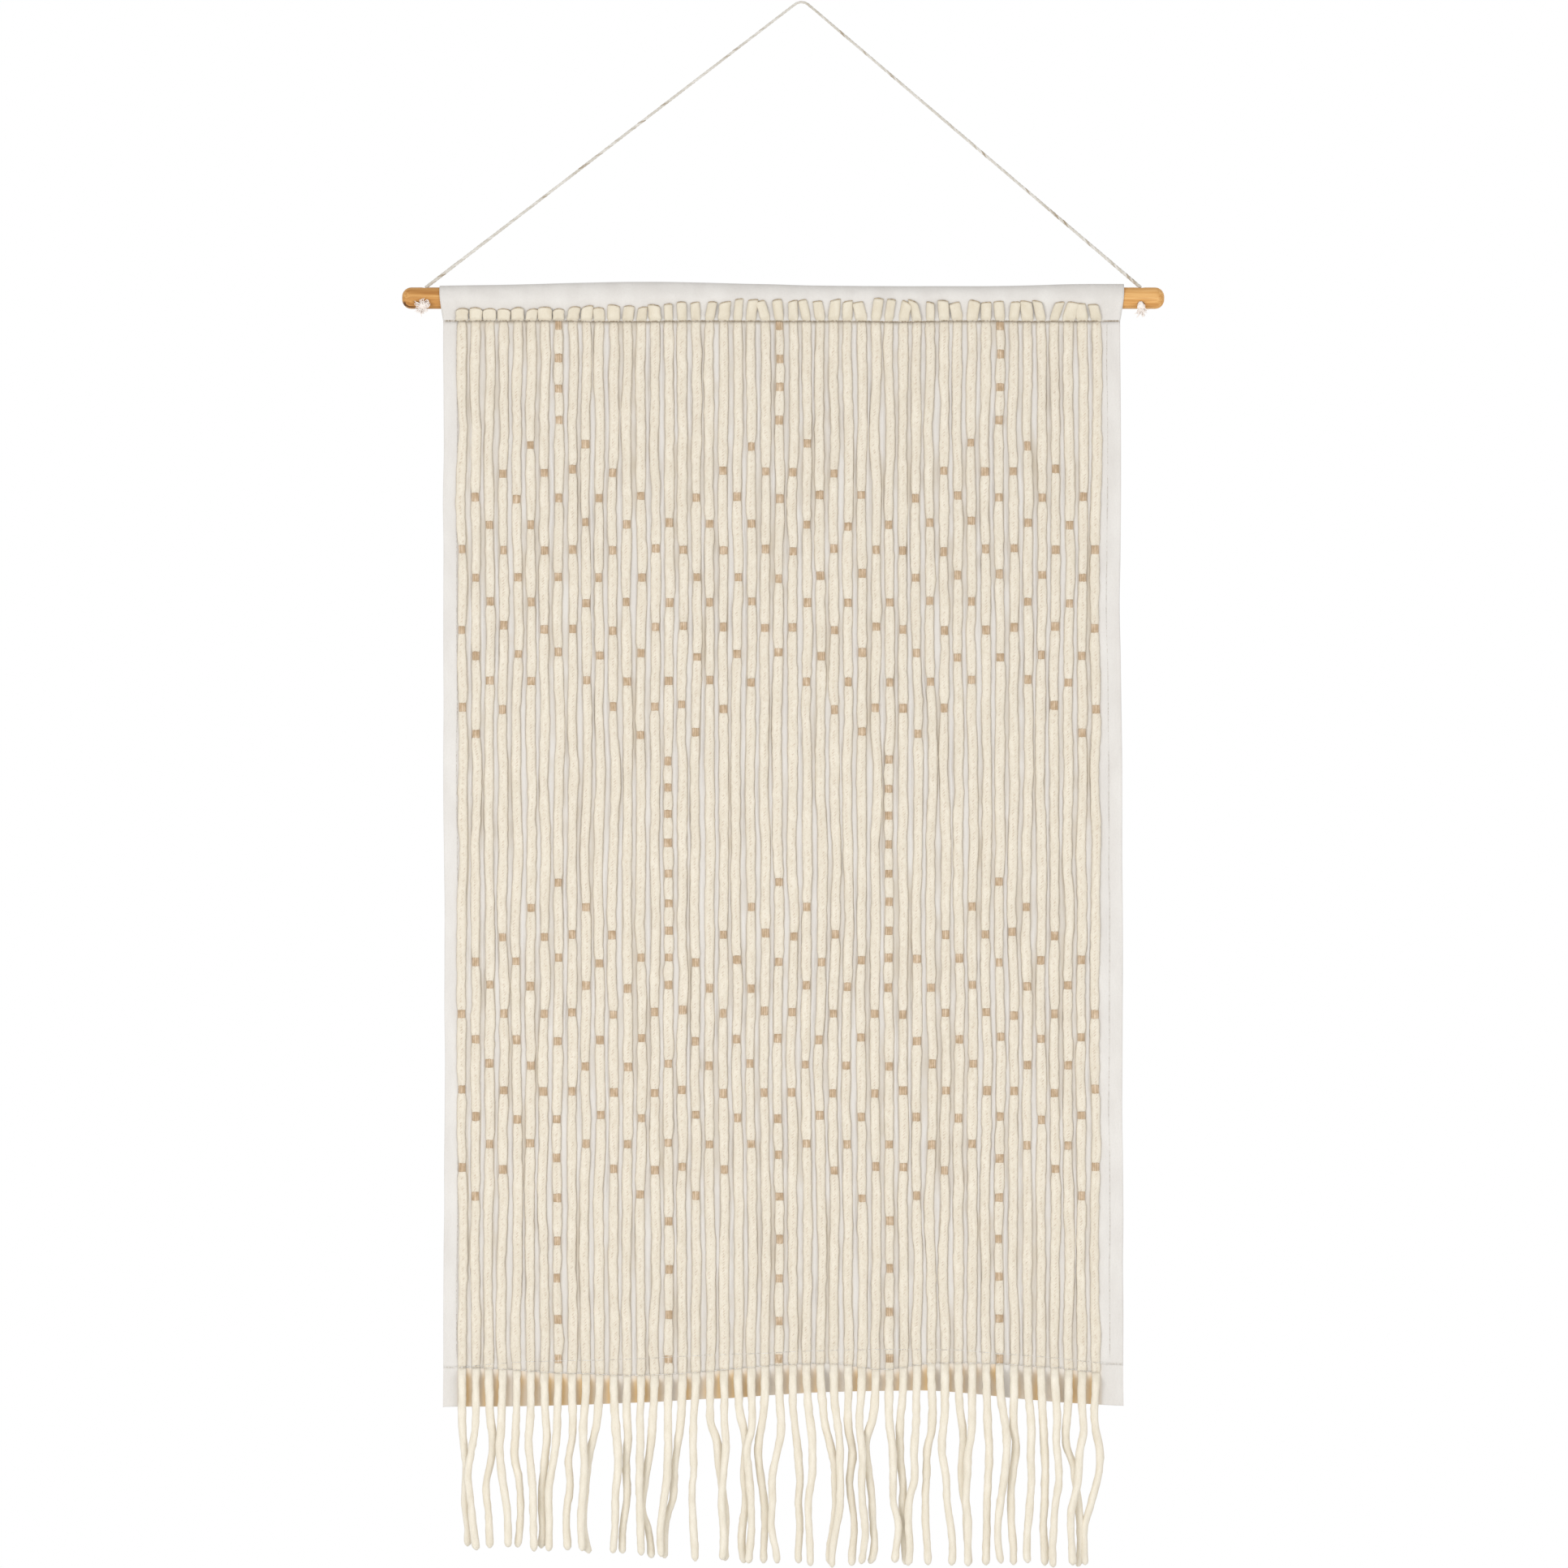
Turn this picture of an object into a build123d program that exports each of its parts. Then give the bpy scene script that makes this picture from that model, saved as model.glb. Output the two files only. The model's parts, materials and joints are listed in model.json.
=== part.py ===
from build123d import *
import math
import os

# A tapestry wall hanging: a dowel on a knotted cord, a cotton ground cloth sewn into a rod pocket over
# the dowel, and 47 wool yarns bound to the face of the cloth, with tan wraps, that end in a fringe.
# Millimetres. +X runs along the dowel to the viewer's right, -Y is the front and +Z is up.
# The origin is the underside of the cord's bend, where a wall peg or hook carries it.

# ---- driving dimensions ----
cord_diameter = 2.8
cord_bend_radius = 8.0  # of the cord's centreline round the peg
dowel_diameter = 19.0
dowel_length = 676.0
dowel_end_radius = 8.2
dowel_drop = 261.6  # from the peg down to the dowel's axis
dowel_x = -16.5  # the peg holds the cord a little right of the dowel's middle
bore_span = 634.0  # between the two cord bores

cloth_thickness = 0.8
cloth_width = 606.0
cloth_x = -17.6
top_seam_drop = 20.6  # from the dowel's axis down to the seam that closes the rod pocket
panel_height = 930.9  # from that seam down to the lower stitch row of the bottom hem
flap_height = 27.4  # from the lower stitch row down to the bottom edge of the cloth
side_hem_width = 14.0

yarn_count = 47
yarn_pitch = 12.23
yarn_width = 8.0
yarn_depth = 5.0
yarn_shift = -2.7  # the yarns sit slightly left of the cloth's middle
tab_width = 10.4
strand_diameter = 6.8
strand_length_left = 155.0
strand_length_right = 173.0

wrap_height = 7.0
wrap_thickness = 0.5
wrap_row_pitch = 23.2

# ---- the wrap pattern ----
# Three peaks, 16 columns apart, each a fan of diamonds that falls away to both sides, in two bands.
peak_columns = (7, 23, 39)
valley_columns = (15, 31)
peak_period = 16
band_tops = (-392.2, -802.7)  # z of row 0 of the upper and the lower band
last_even_row = 12
rows_between_repeats = 3
even_column_repeats = 4
odd_column_repeats = 3
head_wraps = 3
head_wrap_pitch = 27.6
neck_wraps = 7
foot_wrap_z = -1202.4  # the lowest wraps sit just above the bottom hem's stitching
peak_foot_wraps = 6
valley_foot_wraps = 3

# ---- clearances ----
running_gap = 0.4  # between the dowel and the rod pocket
lying_gap = 0.1  # between soft pieces that lie on each other in one body
fold_angle = 32.0  # the pieces beside a fold line are cut back by this much from square
fold_gap = 0.4
fold_edge_gap = 1.3  # from a fold line to the edge of the cloth beside it

# ---- worked out from the above ----
cord_radius = cord_diameter / 2
dowel_radius = dowel_diameter / 2
dowel_z = -dowel_drop
mouth_z = dowel_z + dowel_radius
top_seam_z = dowel_z - top_seam_drop
fringe_seam_z = top_seam_z - panel_height
left_bore_x = dowel_x - bore_span / 2
right_bore_x = dowel_x + bore_span / 2
face_y = -cloth_thickness / 2
yarn_front_y = face_y - yarn_depth
fold_slope = math.tan(math.radians(fold_angle))
field_x = cloth_x + yarn_shift


def column_x(column):
    """The middle of a yarn, counted from 0 at the left."""
    return field_x + (column - (yarn_count - 1) / 2) * yarn_pitch


def across(column):
    """0 at the leftmost yarn and 1 at the rightmost."""
    return column / (yarn_count - 1)


def evenly(first, last, count):
    """count values strictly between first and last, evenly spaced."""
    step = (last - first) / (count + 1)
    return [first + step * (n + 1) for n in range(count)]


os.makedirs("parts", exist_ok=True)

# ---- dowel ----
# The cord enters each bore at the top of the dowel and comes out low on its front, where its knot sits.
bore_radius = 1.7
exit_degrees = 36.0  # the bores come out this far below level
exit_angle = math.radians(exit_degrees)
exit_y = -dowel_radius * math.cos(exit_angle)
exit_z = dowel_z - dowel_radius * math.sin(exit_angle)
bore_direction = Vector(0, exit_y, exit_z - mouth_z).normalized()
bore_length = Vector(0, exit_y, exit_z - mouth_z).length
mouth_sink = 3.6
exit_sink = 3.6

with BuildPart() as dowel:
    with BuildSketch(Plane.YZ.offset(dowel_x)):
        with Locations((0, dowel_z)):
            Circle(dowel_radius)
    extrude(amount=dowel_length / 2, both=True)
    fillet(dowel.edges().filter_by(GeomType.CIRCLE), radius=dowel_end_radius)
    for bore_x in (left_bore_x, right_bore_x):
        with BuildSketch(Plane(origin=(bore_x, 0, mouth_z), x_dir=(1, 0, 0), z_dir=bore_direction)):
            Circle(bore_radius)
        extrude(amount=dowel_diameter, both=True, mode=Mode.SUBTRACT)
        with Locations((bore_x, 0, mouth_z)):
            Cone(0, mouth_sink, mouth_sink, align=(Align.CENTER, Align.CENTER, Align.MAX), mode=Mode.SUBTRACT)
        with Locations(Plane(origin=(bore_x, exit_y, exit_z), x_dir=(1, 0, 0), z_dir=bore_direction)):
            Cone(0, exit_sink, exit_sink, align=(Align.CENTER, Align.CENTER, Align.MAX), mode=Mode.SUBTRACT)
dowel.part.label = "dowel"
export_step(dowel.part, "parts/dowel.step")

# ---- hanging cord ----
# Two taut runs from bore to bore, round one bend of the peg's size. Its ball ends turn in the mouths.
half_turn = math.atan2(-mouth_z, bore_span / 2)
corner_z = cord_radius + cord_bend_radius * (1 / math.cos(half_turn) - 1)
cord_start = Vector(left_bore_x, 0, mouth_z)
cord_corner = Vector(0, 0, corner_z)
cord_end = Vector(right_bore_x, 0, mouth_z)

with BuildPart() as hanging_cord:
    with BuildLine():
        cord_route = FilletPolyline(cord_start, cord_corner, cord_end, radius=[cord_bend_radius])
    with BuildSketch(Plane(origin=cord_start, z_dir=cord_corner - cord_start)):
        Circle(cord_radius)
    sweep(path=cord_route)
    with Locations(cord_start, cord_end):
        Sphere(cord_radius)
hanging_cord.part.label = "hanging_cord"
export_step(hanging_cord.part, "parts/hanging_cord.step")
print("cord bend radius", cord_bend_radius, "in a cord of diameter", cord_diameter)
print("cord length", round(cord_route.length, 1))
print("cord volume", round(hanging_cord.part.volume, 1))
print("section times length", round(math.pi * cord_radius**2 * cord_route.length, 1))

# ---- knots ----
# A stopper knot sits in each lower mouth, and the cord's frayed end flares out beyond it.
knot_radius = 4.0
knot_offset = 2.0  # from the dowel's surface out to the knot's middle
stem_start = 2.1  # below the mouth, clear of the cord's ball end
fray_root_radius = 1.6


def make_knot(bore_x, fray_direction, fray_length, fray_tip_radius):
    """A knot, with its stem in the bore and a frayed end that leaves it in the given direction."""
    centre = Vector(bore_x, exit_y, exit_z) + bore_direction * knot_offset
    stem_foot = Vector(bore_x, 0, mouth_z) + bore_direction * stem_start
    with BuildPart() as knot:
        with BuildSketch(Plane(origin=stem_foot, x_dir=(1, 0, 0), z_dir=bore_direction)):
            Circle(cord_radius)
        extrude(amount=bore_length - stem_start)
        with Locations(centre):
            Sphere(knot_radius)
        with Locations(Plane(origin=centre, z_dir=fray_direction)):
            Cone(
                fray_root_radius,
                fray_tip_radius,
                fray_length,
                align=(Align.CENTER, Align.CENTER, Align.MIN),
            )
    return knot


left_knot = make_knot(left_bore_x, (-0.45, -1.0, -0.1), 6.5, 5.2)
left_knot.part.label = "left_knot"
export_step(left_knot.part, "parts/left_knot.step")

right_knot = make_knot(right_bore_x, (-0.12, -0.2, -1.0), 11.5, 4.2)
right_knot.part.label = "right_knot"
export_step(right_knot.part, "parts/right_knot.step")

# ---- rod pocket ----
# The cloth goes over the dowel and both layers come down to a flat lip, which the top seam closes.
# It is made as narrow lengthwise sections, flat inside, so that each is convex and the hollow stays open.
pocket_inner_radius = dowel_radius + running_gap
pocket_outer_radius = pocket_inner_radius + cloth_thickness
pocket_point = 17.5  # from the dowel's axis down to the point of the hollow
lip_half = cloth_thickness
pocket_half_angle = math.asin(pocket_inner_radius / pocket_point)
outer_point = pocket_point + cloth_thickness / math.sin(pocket_half_angle)
tangent_rise = math.sin(pocket_half_angle)
tangent_run = math.cos(pocket_half_angle)
lip_top = outer_point - lip_half / math.tan(pocket_half_angle)
section_count = 10  # steps round the dowel from the front wall to the back wall
section_step = (math.pi + 2 * pocket_half_angle) / section_count
corner_radius = pocket_inner_radius / math.cos(section_step / 2)
corner_angles = [section_step * (n + 0.5) - pocket_half_angle for n in range(section_count)]
lip_cut_height = 0.5
pocket_middle_radius = (pocket_inner_radius + pocket_outer_radius) / 2

with BuildPart() as rod_pocket:
    with BuildSketch(Plane.YZ.offset(cloth_x)):
        with BuildLine():
            front = (-pocket_outer_radius * tangent_run, dowel_z - pocket_outer_radius * tangent_rise)
            back = (-front[0], front[1])
            ThreePointArc(front, (0, dowel_z + pocket_outer_radius), back)
            Polyline(
                back,
                (lip_half, dowel_z - lip_top),
                (lip_half, top_seam_z + fold_gap),
                (-lip_half, top_seam_z + fold_gap),
                (-lip_half, dowel_z - lip_top),
                front,
            )
        make_face()
        with BuildLine():
            corners = [
                (corner_radius * math.cos(angle), dowel_z + corner_radius * math.sin(angle))
                for angle in corner_angles
            ]
            Polyline((0, dowel_z - pocket_point), *corners, close=True)
        make_face(mode=Mode.SUBTRACT)
        for angle in corner_angles:
            cut_y = pocket_middle_radius * math.cos(angle)
            cut_z = dowel_z + pocket_middle_radius * math.sin(angle)
            with Locations((cut_y, cut_z)):
                Rectangle(4 * cloth_thickness, lying_gap, rotation=math.degrees(angle), mode=Mode.SUBTRACT)
        with Locations((0, dowel_z - lip_top)):
            Rectangle(4 * lip_half, lip_cut_height, align=(Align.CENTER, Align.MIN), mode=Mode.SUBTRACT)
    extrude(amount=cloth_width / 2, both=True)
rod_pocket.part.label = "rod_pocket"
export_step(rod_pocket.part, "parts/rod_pocket.step")

# ---- top seam ----
# The needle thread and the bobbin thread of the lockstitch, along the front and the back of the lip.
thread_size = 0.6
thread_corner = 0.15
thread_end_inset = 1.0
top_thread_rise = 1.4
top_thread_z = top_seam_z + top_thread_rise

with BuildPart() as top_seam:
    with BuildSketch(Plane.YZ.offset(cloth_x)):
        for side in (-1, 1):
            with Locations((side * (lip_half + thread_size / 2), top_thread_z)):
                RectangleRounded(thread_size, thread_size, thread_corner)
    extrude(amount=cloth_width / 2 - thread_end_inset, both=True)
top_seam.part.label = "top_seam"
export_step(top_seam.part, "parts/top_seam.step")

# ---- yarn tabs ----
# Above the top seam each yarn is folded into a short tab that leans on the pocket's sloping front.
tab_height_left = 12.0
tab_height_right = 17.5
tab_rise_share = 0.4  # the tabs reach their full height this far across
tab_corner = 1.5
tab_nose_reach = 4.0  # how far a tab's upper front edge stands off the pocket
tab_nose_drop = 2.6
tab_back_y = -(lip_half + thread_size + lying_gap)
tab_front_y = -6.0
slope_run = math.tan(pocket_half_angle)
slope_clearance = lying_gap / math.cos(pocket_half_angle)


def slope_y(z):
    """y of the pocket's outer front slope at height z, with the lying gap."""
    return -(z - (dowel_z - outer_point)) * slope_run - slope_clearance


with BuildPart() as yarn_tabs:
    for column in range(yarn_count):
        height = tab_height_left + (tab_height_right - tab_height_left) * min(1, across(column) / tab_rise_share)
        tab_top_z = top_seam_z + height
        tab_foot_z = top_seam_z - tab_back_y * fold_slope + fold_gap
        bend_z = dowel_z - outer_point - (tab_back_y + slope_clearance) / slope_run
        with BuildSketch(Plane.YZ.offset(column_x(column))) as tab_section:
            with BuildLine():
                Polyline(
                    (tab_back_y, tab_foot_z),
                    (tab_front_y, top_seam_z - tab_front_y * fold_slope + fold_gap),
                    (slope_y(tab_top_z) - tab_nose_reach, tab_top_z - tab_nose_drop),
                    (slope_y(tab_top_z), tab_top_z),
                    (tab_back_y, bend_z),
                    close=True,
                )
            make_face()
            fillet(tab_section.vertices().sort_by(Axis.X)[:3], radius=tab_corner)
        extrude(amount=tab_width / 2, both=True)
yarn_tabs.part.label = "yarn_tabs"
export_step(yarn_tabs.part, "parts/yarn_tabs.step")

# ---- ground cloth ----
panel_top_z = top_seam_z - fold_edge_gap
panel_bottom_z = fringe_seam_z + fold_edge_gap
inner_width = cloth_width - 2 * side_hem_width

with BuildPart() as backing_cloth:
    with BuildSketch(Plane.XY.offset(panel_bottom_z)):
        with Locations((cloth_x, 0)):
            Rectangle(inner_width, cloth_thickness)
    extrude(amount=panel_top_z - panel_bottom_z)
backing_cloth.part.label = "backing_cloth"
export_step(backing_cloth.part, "parts/backing_cloth.step")

# ---- side hems ----
# Each side edge is folded twice to the back, so the hem is three layers, rounded at its outer fold.
hem_thickness = 2.0
hem_corner = 0.9

with BuildPart() as side_hems:
    with BuildSketch(Plane.XY.offset(panel_bottom_z)):
        for side in (-1, 1):
            with Locations((cloth_x + side * (cloth_width - side_hem_width) / 2, 0)):
                RectangleRounded(side_hem_width, hem_thickness, hem_corner)
    extrude(amount=panel_top_z - panel_bottom_z)
side_hems.part.label = "side_hems"
export_step(side_hems.part, "parts/side_hems.step")

# ---- bottom seam ----
# The bobbin threads of the two stitch rows, on the back of the cloth.
seam_row_gap = 9.0
lower_thread_rise = 1.5
lower_thread_z = panel_bottom_z + lower_thread_rise

with BuildPart() as bottom_seam:
    with BuildSketch(Plane.YZ.offset(cloth_x)):
        with Locations(*[(thread_size / 2 - face_y, lower_thread_z + n * seam_row_gap) for n in (0, 1)]):
            RectangleRounded(thread_size, thread_size, thread_corner)
    extrude(amount=inner_width / 2 - thread_end_inset, both=True)
bottom_seam.part.label = "bottom_seam"
export_step(bottom_seam.part, "parts/bottom_seam.step")

# ---- hem flap ----
# Below the lower stitch row the folded edge of the cloth hangs behind the fringe.
with BuildPart() as hem_flap:
    with BuildSketch(Plane.YZ.offset(cloth_x)):
        with Locations((0, fringe_seam_z - (flap_height + fold_edge_gap) / 2)):
            RectangleRounded(hem_thickness, flap_height - fold_edge_gap, hem_corner)
    extrude(amount=cloth_width / 2, both=True)
hem_flap.part.label = "hem_flap"
export_step(hem_flap.part, "parts/hem_flap.step")

# ---- yarns ----
# Felted wool, flat at the back where it lies on the cloth. Both ends are pinched by the seams.
yarn_corner = 2.2
yarn_back_top_z = top_seam_z + face_y * fold_slope - fold_gap
yarn_front_top_z = top_seam_z + yarn_front_y * fold_slope - fold_gap
yarn_back_bottom_z = fringe_seam_z - face_y * fold_slope + fold_gap
yarn_front_bottom_z = fringe_seam_z - yarn_front_y * fold_slope + fold_gap

for column in range(yarn_count):
    with BuildPart() as yarn:
        with BuildSketch(Plane.YZ.offset(column_x(column))):
            with BuildLine():
                Polyline(
                    (face_y, yarn_back_top_z),
                    (yarn_front_y, yarn_front_top_z),
                    (yarn_front_y, yarn_front_bottom_z),
                    (face_y, yarn_back_bottom_z),
                    close=True,
                )
            make_face()
        extrude(amount=yarn_width / 2, both=True)
        fillet(yarn.edges().filter_by(Axis.Z).group_by(Axis.Y)[0], radius=yarn_corner)
    yarn_name = f"yarn_{column + 1:02d}"
    yarn.part.label = yarn_name
    export_step(yarn.part, f"parts/{yarn_name}.step")


# ---- accent wraps ----
def wrap_rows(column):
    """z of every wrap on one yarn."""
    distance = min(abs(column - peak) for peak in peak_columns)
    even = distance % 2 == 0
    first_row = distance // 2 - 1 if even else (distance + 1) // 2
    repeats = even_column_repeats if even else odd_column_repeats
    rows = [
        top - wrap_row_pitch * (first_row + rows_between_repeats * n)
        for top in band_tops
        for n in range(repeats)
    ]
    if column in peak_columns:
        highest = max(rows)
        rows += [highest + head_wrap_pitch * (n + 1) for n in range(head_wraps)]
        rows += evenly(min(rows), foot_wrap_z, peak_foot_wraps - 1)
        rows.append(foot_wrap_z)
    if column in valley_columns:
        upper_end = band_tops[0] - wrap_row_pitch * last_even_row
        lower_start = band_tops[1] - wrap_row_pitch * first_row
        rows += evenly(upper_end, lower_start, neck_wraps)
        rows += evenly(min(rows), foot_wrap_z, valley_foot_wraps - 1)
        rows.append(foot_wrap_z)
    return rows


# One wrap is a U of tan thread round the front and sides of a yarn, with its open side on the cloth.
wrap_outer_width = yarn_width + 2 * (wrap_thickness + lying_gap)
wrap_back_y = face_y - lying_gap
wrap_front_y = yarn_front_y - lying_gap - wrap_thickness

with BuildPart() as one_wrap:
    with BuildSketch() as wrap_section:
        with Locations((0, (wrap_back_y + wrap_front_y) / 2)):
            Rectangle(wrap_outer_width, wrap_back_y - wrap_front_y)
        fillet(wrap_section.vertices().group_by(Axis.Y)[0], radius=yarn_corner + wrap_thickness)
        with BuildSketch(mode=Mode.SUBTRACT) as yarn_space:
            with Locations((0, (yarn_front_y - lying_gap) / 2)):
                Rectangle(yarn_width + 2 * lying_gap, lying_gap - yarn_front_y)
            fillet(yarn_space.vertices().group_by(Axis.Y)[0], radius=yarn_corner)
    extrude(amount=wrap_height / 2, both=True)

wrap_places = [(column_x(column), 0, z) for column in range(yarn_count) for z in wrap_rows(column)]
print("accent wraps", len(wrap_places))

# The highest wraps touch the top seam, so their upper fronts are cut back like the yarns' ends.
with BuildPart() as accent_wraps:
    with Locations(*wrap_places):
        add(one_wrap.part)
    with BuildSketch(Plane.YZ.offset(cloth_x)):
        with BuildLine():
            Polyline(
                (0, top_seam_z - fold_gap),
                (2 * wrap_front_y, top_seam_z - fold_gap + 2 * wrap_front_y * fold_slope),
                (2 * wrap_front_y, top_seam_z),
                (0, top_seam_z),
                close=True,
            )
        make_face()
    extrude(amount=cloth_width / 2, both=True, mode=Mode.SUBTRACT)
accent_wraps.part.label = "accent_wraps"
export_step(accent_wraps.part, "parts/accent_wraps.step")

# ---- fringe ----
# Below the lower stitch row the yarns hang free as round strands, in front of the hem flap.
strand_radius = strand_diameter / 2
strand_clearance = 0.2
strand_y = -hem_thickness / 2 - strand_clearance - strand_radius
strand_top_z = fringe_seam_z - strand_radius
strand_swing = 4.0  # how much neighbouring strands differ in length
strand_swing_step = 2.4  # radians from one strand to the next
strand_growth_share = 0.625  # the strands reach their full length this far across
strand_round = 0.98  # of the strand's radius, at both ends


def strand_end_z(column):
    """The strands get longer to the right and are slightly uneven."""
    growth = min(1, across(column) / strand_growth_share)
    length = strand_length_left + (strand_length_right - strand_length_left) * growth
    return fringe_seam_z - length - strand_swing * math.sin(strand_swing_step * column)


with BuildPart() as fringe:
    for column in range(yarn_count):
        with BuildSketch(Plane.XY.offset(strand_top_z)):
            with Locations((column_x(column), strand_y)):
                Circle(strand_radius)
        extrude(amount=strand_end_z(column) - strand_top_z)
    fillet(fringe.edges().filter_by(GeomType.CIRCLE), radius=strand_radius * strand_round)
fringe.part.label = "fringe"
export_step(fringe.part, "parts/fringe.step")
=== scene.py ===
import json
import math

import bpy
import numpy as np
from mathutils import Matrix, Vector


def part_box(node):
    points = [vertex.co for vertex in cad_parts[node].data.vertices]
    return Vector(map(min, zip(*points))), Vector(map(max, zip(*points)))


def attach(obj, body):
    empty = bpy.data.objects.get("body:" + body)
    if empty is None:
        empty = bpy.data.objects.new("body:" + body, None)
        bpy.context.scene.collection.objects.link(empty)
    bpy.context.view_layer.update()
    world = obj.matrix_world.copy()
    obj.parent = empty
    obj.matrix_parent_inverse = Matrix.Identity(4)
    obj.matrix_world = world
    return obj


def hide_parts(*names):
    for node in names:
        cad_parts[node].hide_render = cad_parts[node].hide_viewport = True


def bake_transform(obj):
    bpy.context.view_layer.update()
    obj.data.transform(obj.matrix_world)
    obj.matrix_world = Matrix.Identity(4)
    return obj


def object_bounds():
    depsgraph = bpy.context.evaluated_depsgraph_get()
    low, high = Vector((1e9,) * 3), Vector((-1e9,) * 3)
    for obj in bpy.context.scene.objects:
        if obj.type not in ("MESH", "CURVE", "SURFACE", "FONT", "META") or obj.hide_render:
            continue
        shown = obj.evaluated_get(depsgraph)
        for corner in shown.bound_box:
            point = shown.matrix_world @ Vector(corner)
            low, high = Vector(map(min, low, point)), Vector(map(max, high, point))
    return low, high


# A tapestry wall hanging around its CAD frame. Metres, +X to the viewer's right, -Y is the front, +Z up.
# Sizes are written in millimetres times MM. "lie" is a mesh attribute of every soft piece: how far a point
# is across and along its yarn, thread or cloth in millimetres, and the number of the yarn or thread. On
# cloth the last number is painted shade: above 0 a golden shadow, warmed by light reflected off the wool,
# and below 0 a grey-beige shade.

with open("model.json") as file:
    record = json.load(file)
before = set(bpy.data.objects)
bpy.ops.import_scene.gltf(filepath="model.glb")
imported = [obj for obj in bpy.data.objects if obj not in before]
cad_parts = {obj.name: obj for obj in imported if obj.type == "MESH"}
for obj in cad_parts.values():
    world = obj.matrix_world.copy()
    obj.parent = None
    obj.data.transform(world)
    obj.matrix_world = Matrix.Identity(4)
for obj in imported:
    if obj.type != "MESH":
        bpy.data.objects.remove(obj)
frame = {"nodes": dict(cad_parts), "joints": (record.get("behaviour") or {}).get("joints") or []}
cad_low, cad_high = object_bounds()

MM = 0.001
joints = {joint["name"]: joint for joint in frame["joints"]}

# ---- places read from the frame ----
dowel_low, dowel_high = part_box("dowel")
dowel_z = (dowel_low.z + dowel_high.z) / 2
dowel_radius = (dowel_high.z - dowel_low.z) / 2
pocket_low, pocket_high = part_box("rod_pocket")
cloth_left = pocket_low.x
cloth_right = pocket_high.x
cloth_middle = (cloth_left + cloth_right) / 2
mouth_z = joints["cord_pivot"]["pos_m"][2]
seam_z = joints["panel_swing"]["pos_m"][2]
hem_z = joints["fringe_swing"]["pos_m"][2]
flap_bottom_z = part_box("hem_flap")[0].z
yarn_count = sum(name.startswith("yarn_") for name in frame["nodes"]) - 1  # without yarn_tabs
yarn_names = [f"yarn_{n + 1:02d}" for n in range(yarn_count)]
yarn_boxes = [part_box(name) for name in yarn_names]
yarn_x = np.array([(low.x + high.x) / 2 for low, high in yarn_boxes])
yarn_half_width = (yarn_boxes[0][1].x - yarn_boxes[0][0].x) / 2
yarn_pitch = yarn_x[1] - yarn_x[0]
strand_low, strand_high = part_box("fringe")
strand_y = (strand_low.y + strand_high.y) / 2
strand_radius = (strand_high.y - strand_low.y) / 2
panel_length = seam_z - hem_z


def wrap_places():
    """[(yarn number, z)] of every accent wrap, read from the CAD node's own solids."""
    mesh = frame["nodes"]["accent_wraps"].data
    points = np.array([v.co for v in mesh.vertices])
    places = []
    for n, x in enumerate(yarn_x):
        heights = np.sort(points[abs(points[:, 0] - x) < yarn_pitch / 2, 2])
        for group in np.split(heights, np.where(np.diff(heights) > 10 * MM)[0] + 1):
            places.append((n, (group[0] + group[-1]) / 2))
    return places


wraps = wrap_places()

# ---- noise ----
NOISE_CELLS = 512
SEED_STEP_X = 17.31  # each seed reads the table this far from the one before
SEED_STEP_Y = 41.77
noise_table = np.random.default_rng(11).uniform(-1, 1, (NOISE_CELLS, NOISE_CELLS))


def noise(x, y=0.0, seed=0):
    """Smooth noise from -1 to 1, with one cell to a unit of x and of y."""
    x, y = np.broadcast_arrays(x + SEED_STEP_X * seed, y + SEED_STEP_Y * seed)
    cell_x = np.floor(x).astype(int)
    cell_y = np.floor(y).astype(int)
    u = x - cell_x
    v = y - cell_y
    u = u * u * (3 - 2 * u)
    v = v * v * (3 - 2 * v)
    low_x, high_x = cell_x % NOISE_CELLS, (cell_x + 1) % NOISE_CELLS
    low_y, high_y = cell_y % NOISE_CELLS, (cell_y + 1) % NOISE_CELLS
    lower = noise_table[low_x, low_y] * (1 - u) + noise_table[high_x, low_y] * u
    upper = noise_table[low_x, high_y] * (1 - u) + noise_table[high_x, high_y] * u
    return lower * (1 - v) + upper * v


def cells(size, x, y=0.0, seed=0):
    """Noise along x, with cells of a size in millimetres."""
    return noise(x / (size * MM), y, seed)


def waver(height, size, x, y=0.0, seed=0):
    """Noise along x, with the height and the cells' size in millimetres."""
    return height * MM * noise(x / (size * MM), y, seed)


def smoothstep(low, high, value):
    t = np.clip((value - low) / (high - low), 0, 1)
    return t * t * (3 - 2 * t)


def hump(x, middle, spread, power=2):
    """A smooth hump, 1 at its middle and almost 0 at twice its spread."""
    return np.exp(-((abs(x - middle) / spread) ** power))


def vectors(x, y, z):
    return np.stack(np.broadcast_arrays(x, y, z), axis=-1)


def unit(vector):
    return vector / np.linalg.norm(vector)


def distances(path):
    """How far along a line each of its points is."""
    return np.concatenate([[0], np.cumsum(np.linalg.norm(np.diff(path, axis=0), axis=1))])


def directions(path, hint):
    """At each point of a line: its own direction, and two across it that twist as little as they can."""
    tangent = np.gradient(path, axis=0)
    tangent /= np.linalg.norm(tangent, axis=1)[:, None]
    side = np.empty_like(path)
    side[0] = unit(np.cross(tangent[0], hint))
    for n in range(1, len(path)):
        side[n] = unit(side[n - 1] - tangent[n] * (side[n - 1] @ tangent[n]))
    return tangent, side, np.cross(tangent, side)


def add_object(name, data):
    made = bpy.data.objects.new(name, data)
    bpy.context.scene.collection.objects.link(made)
    return made


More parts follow.
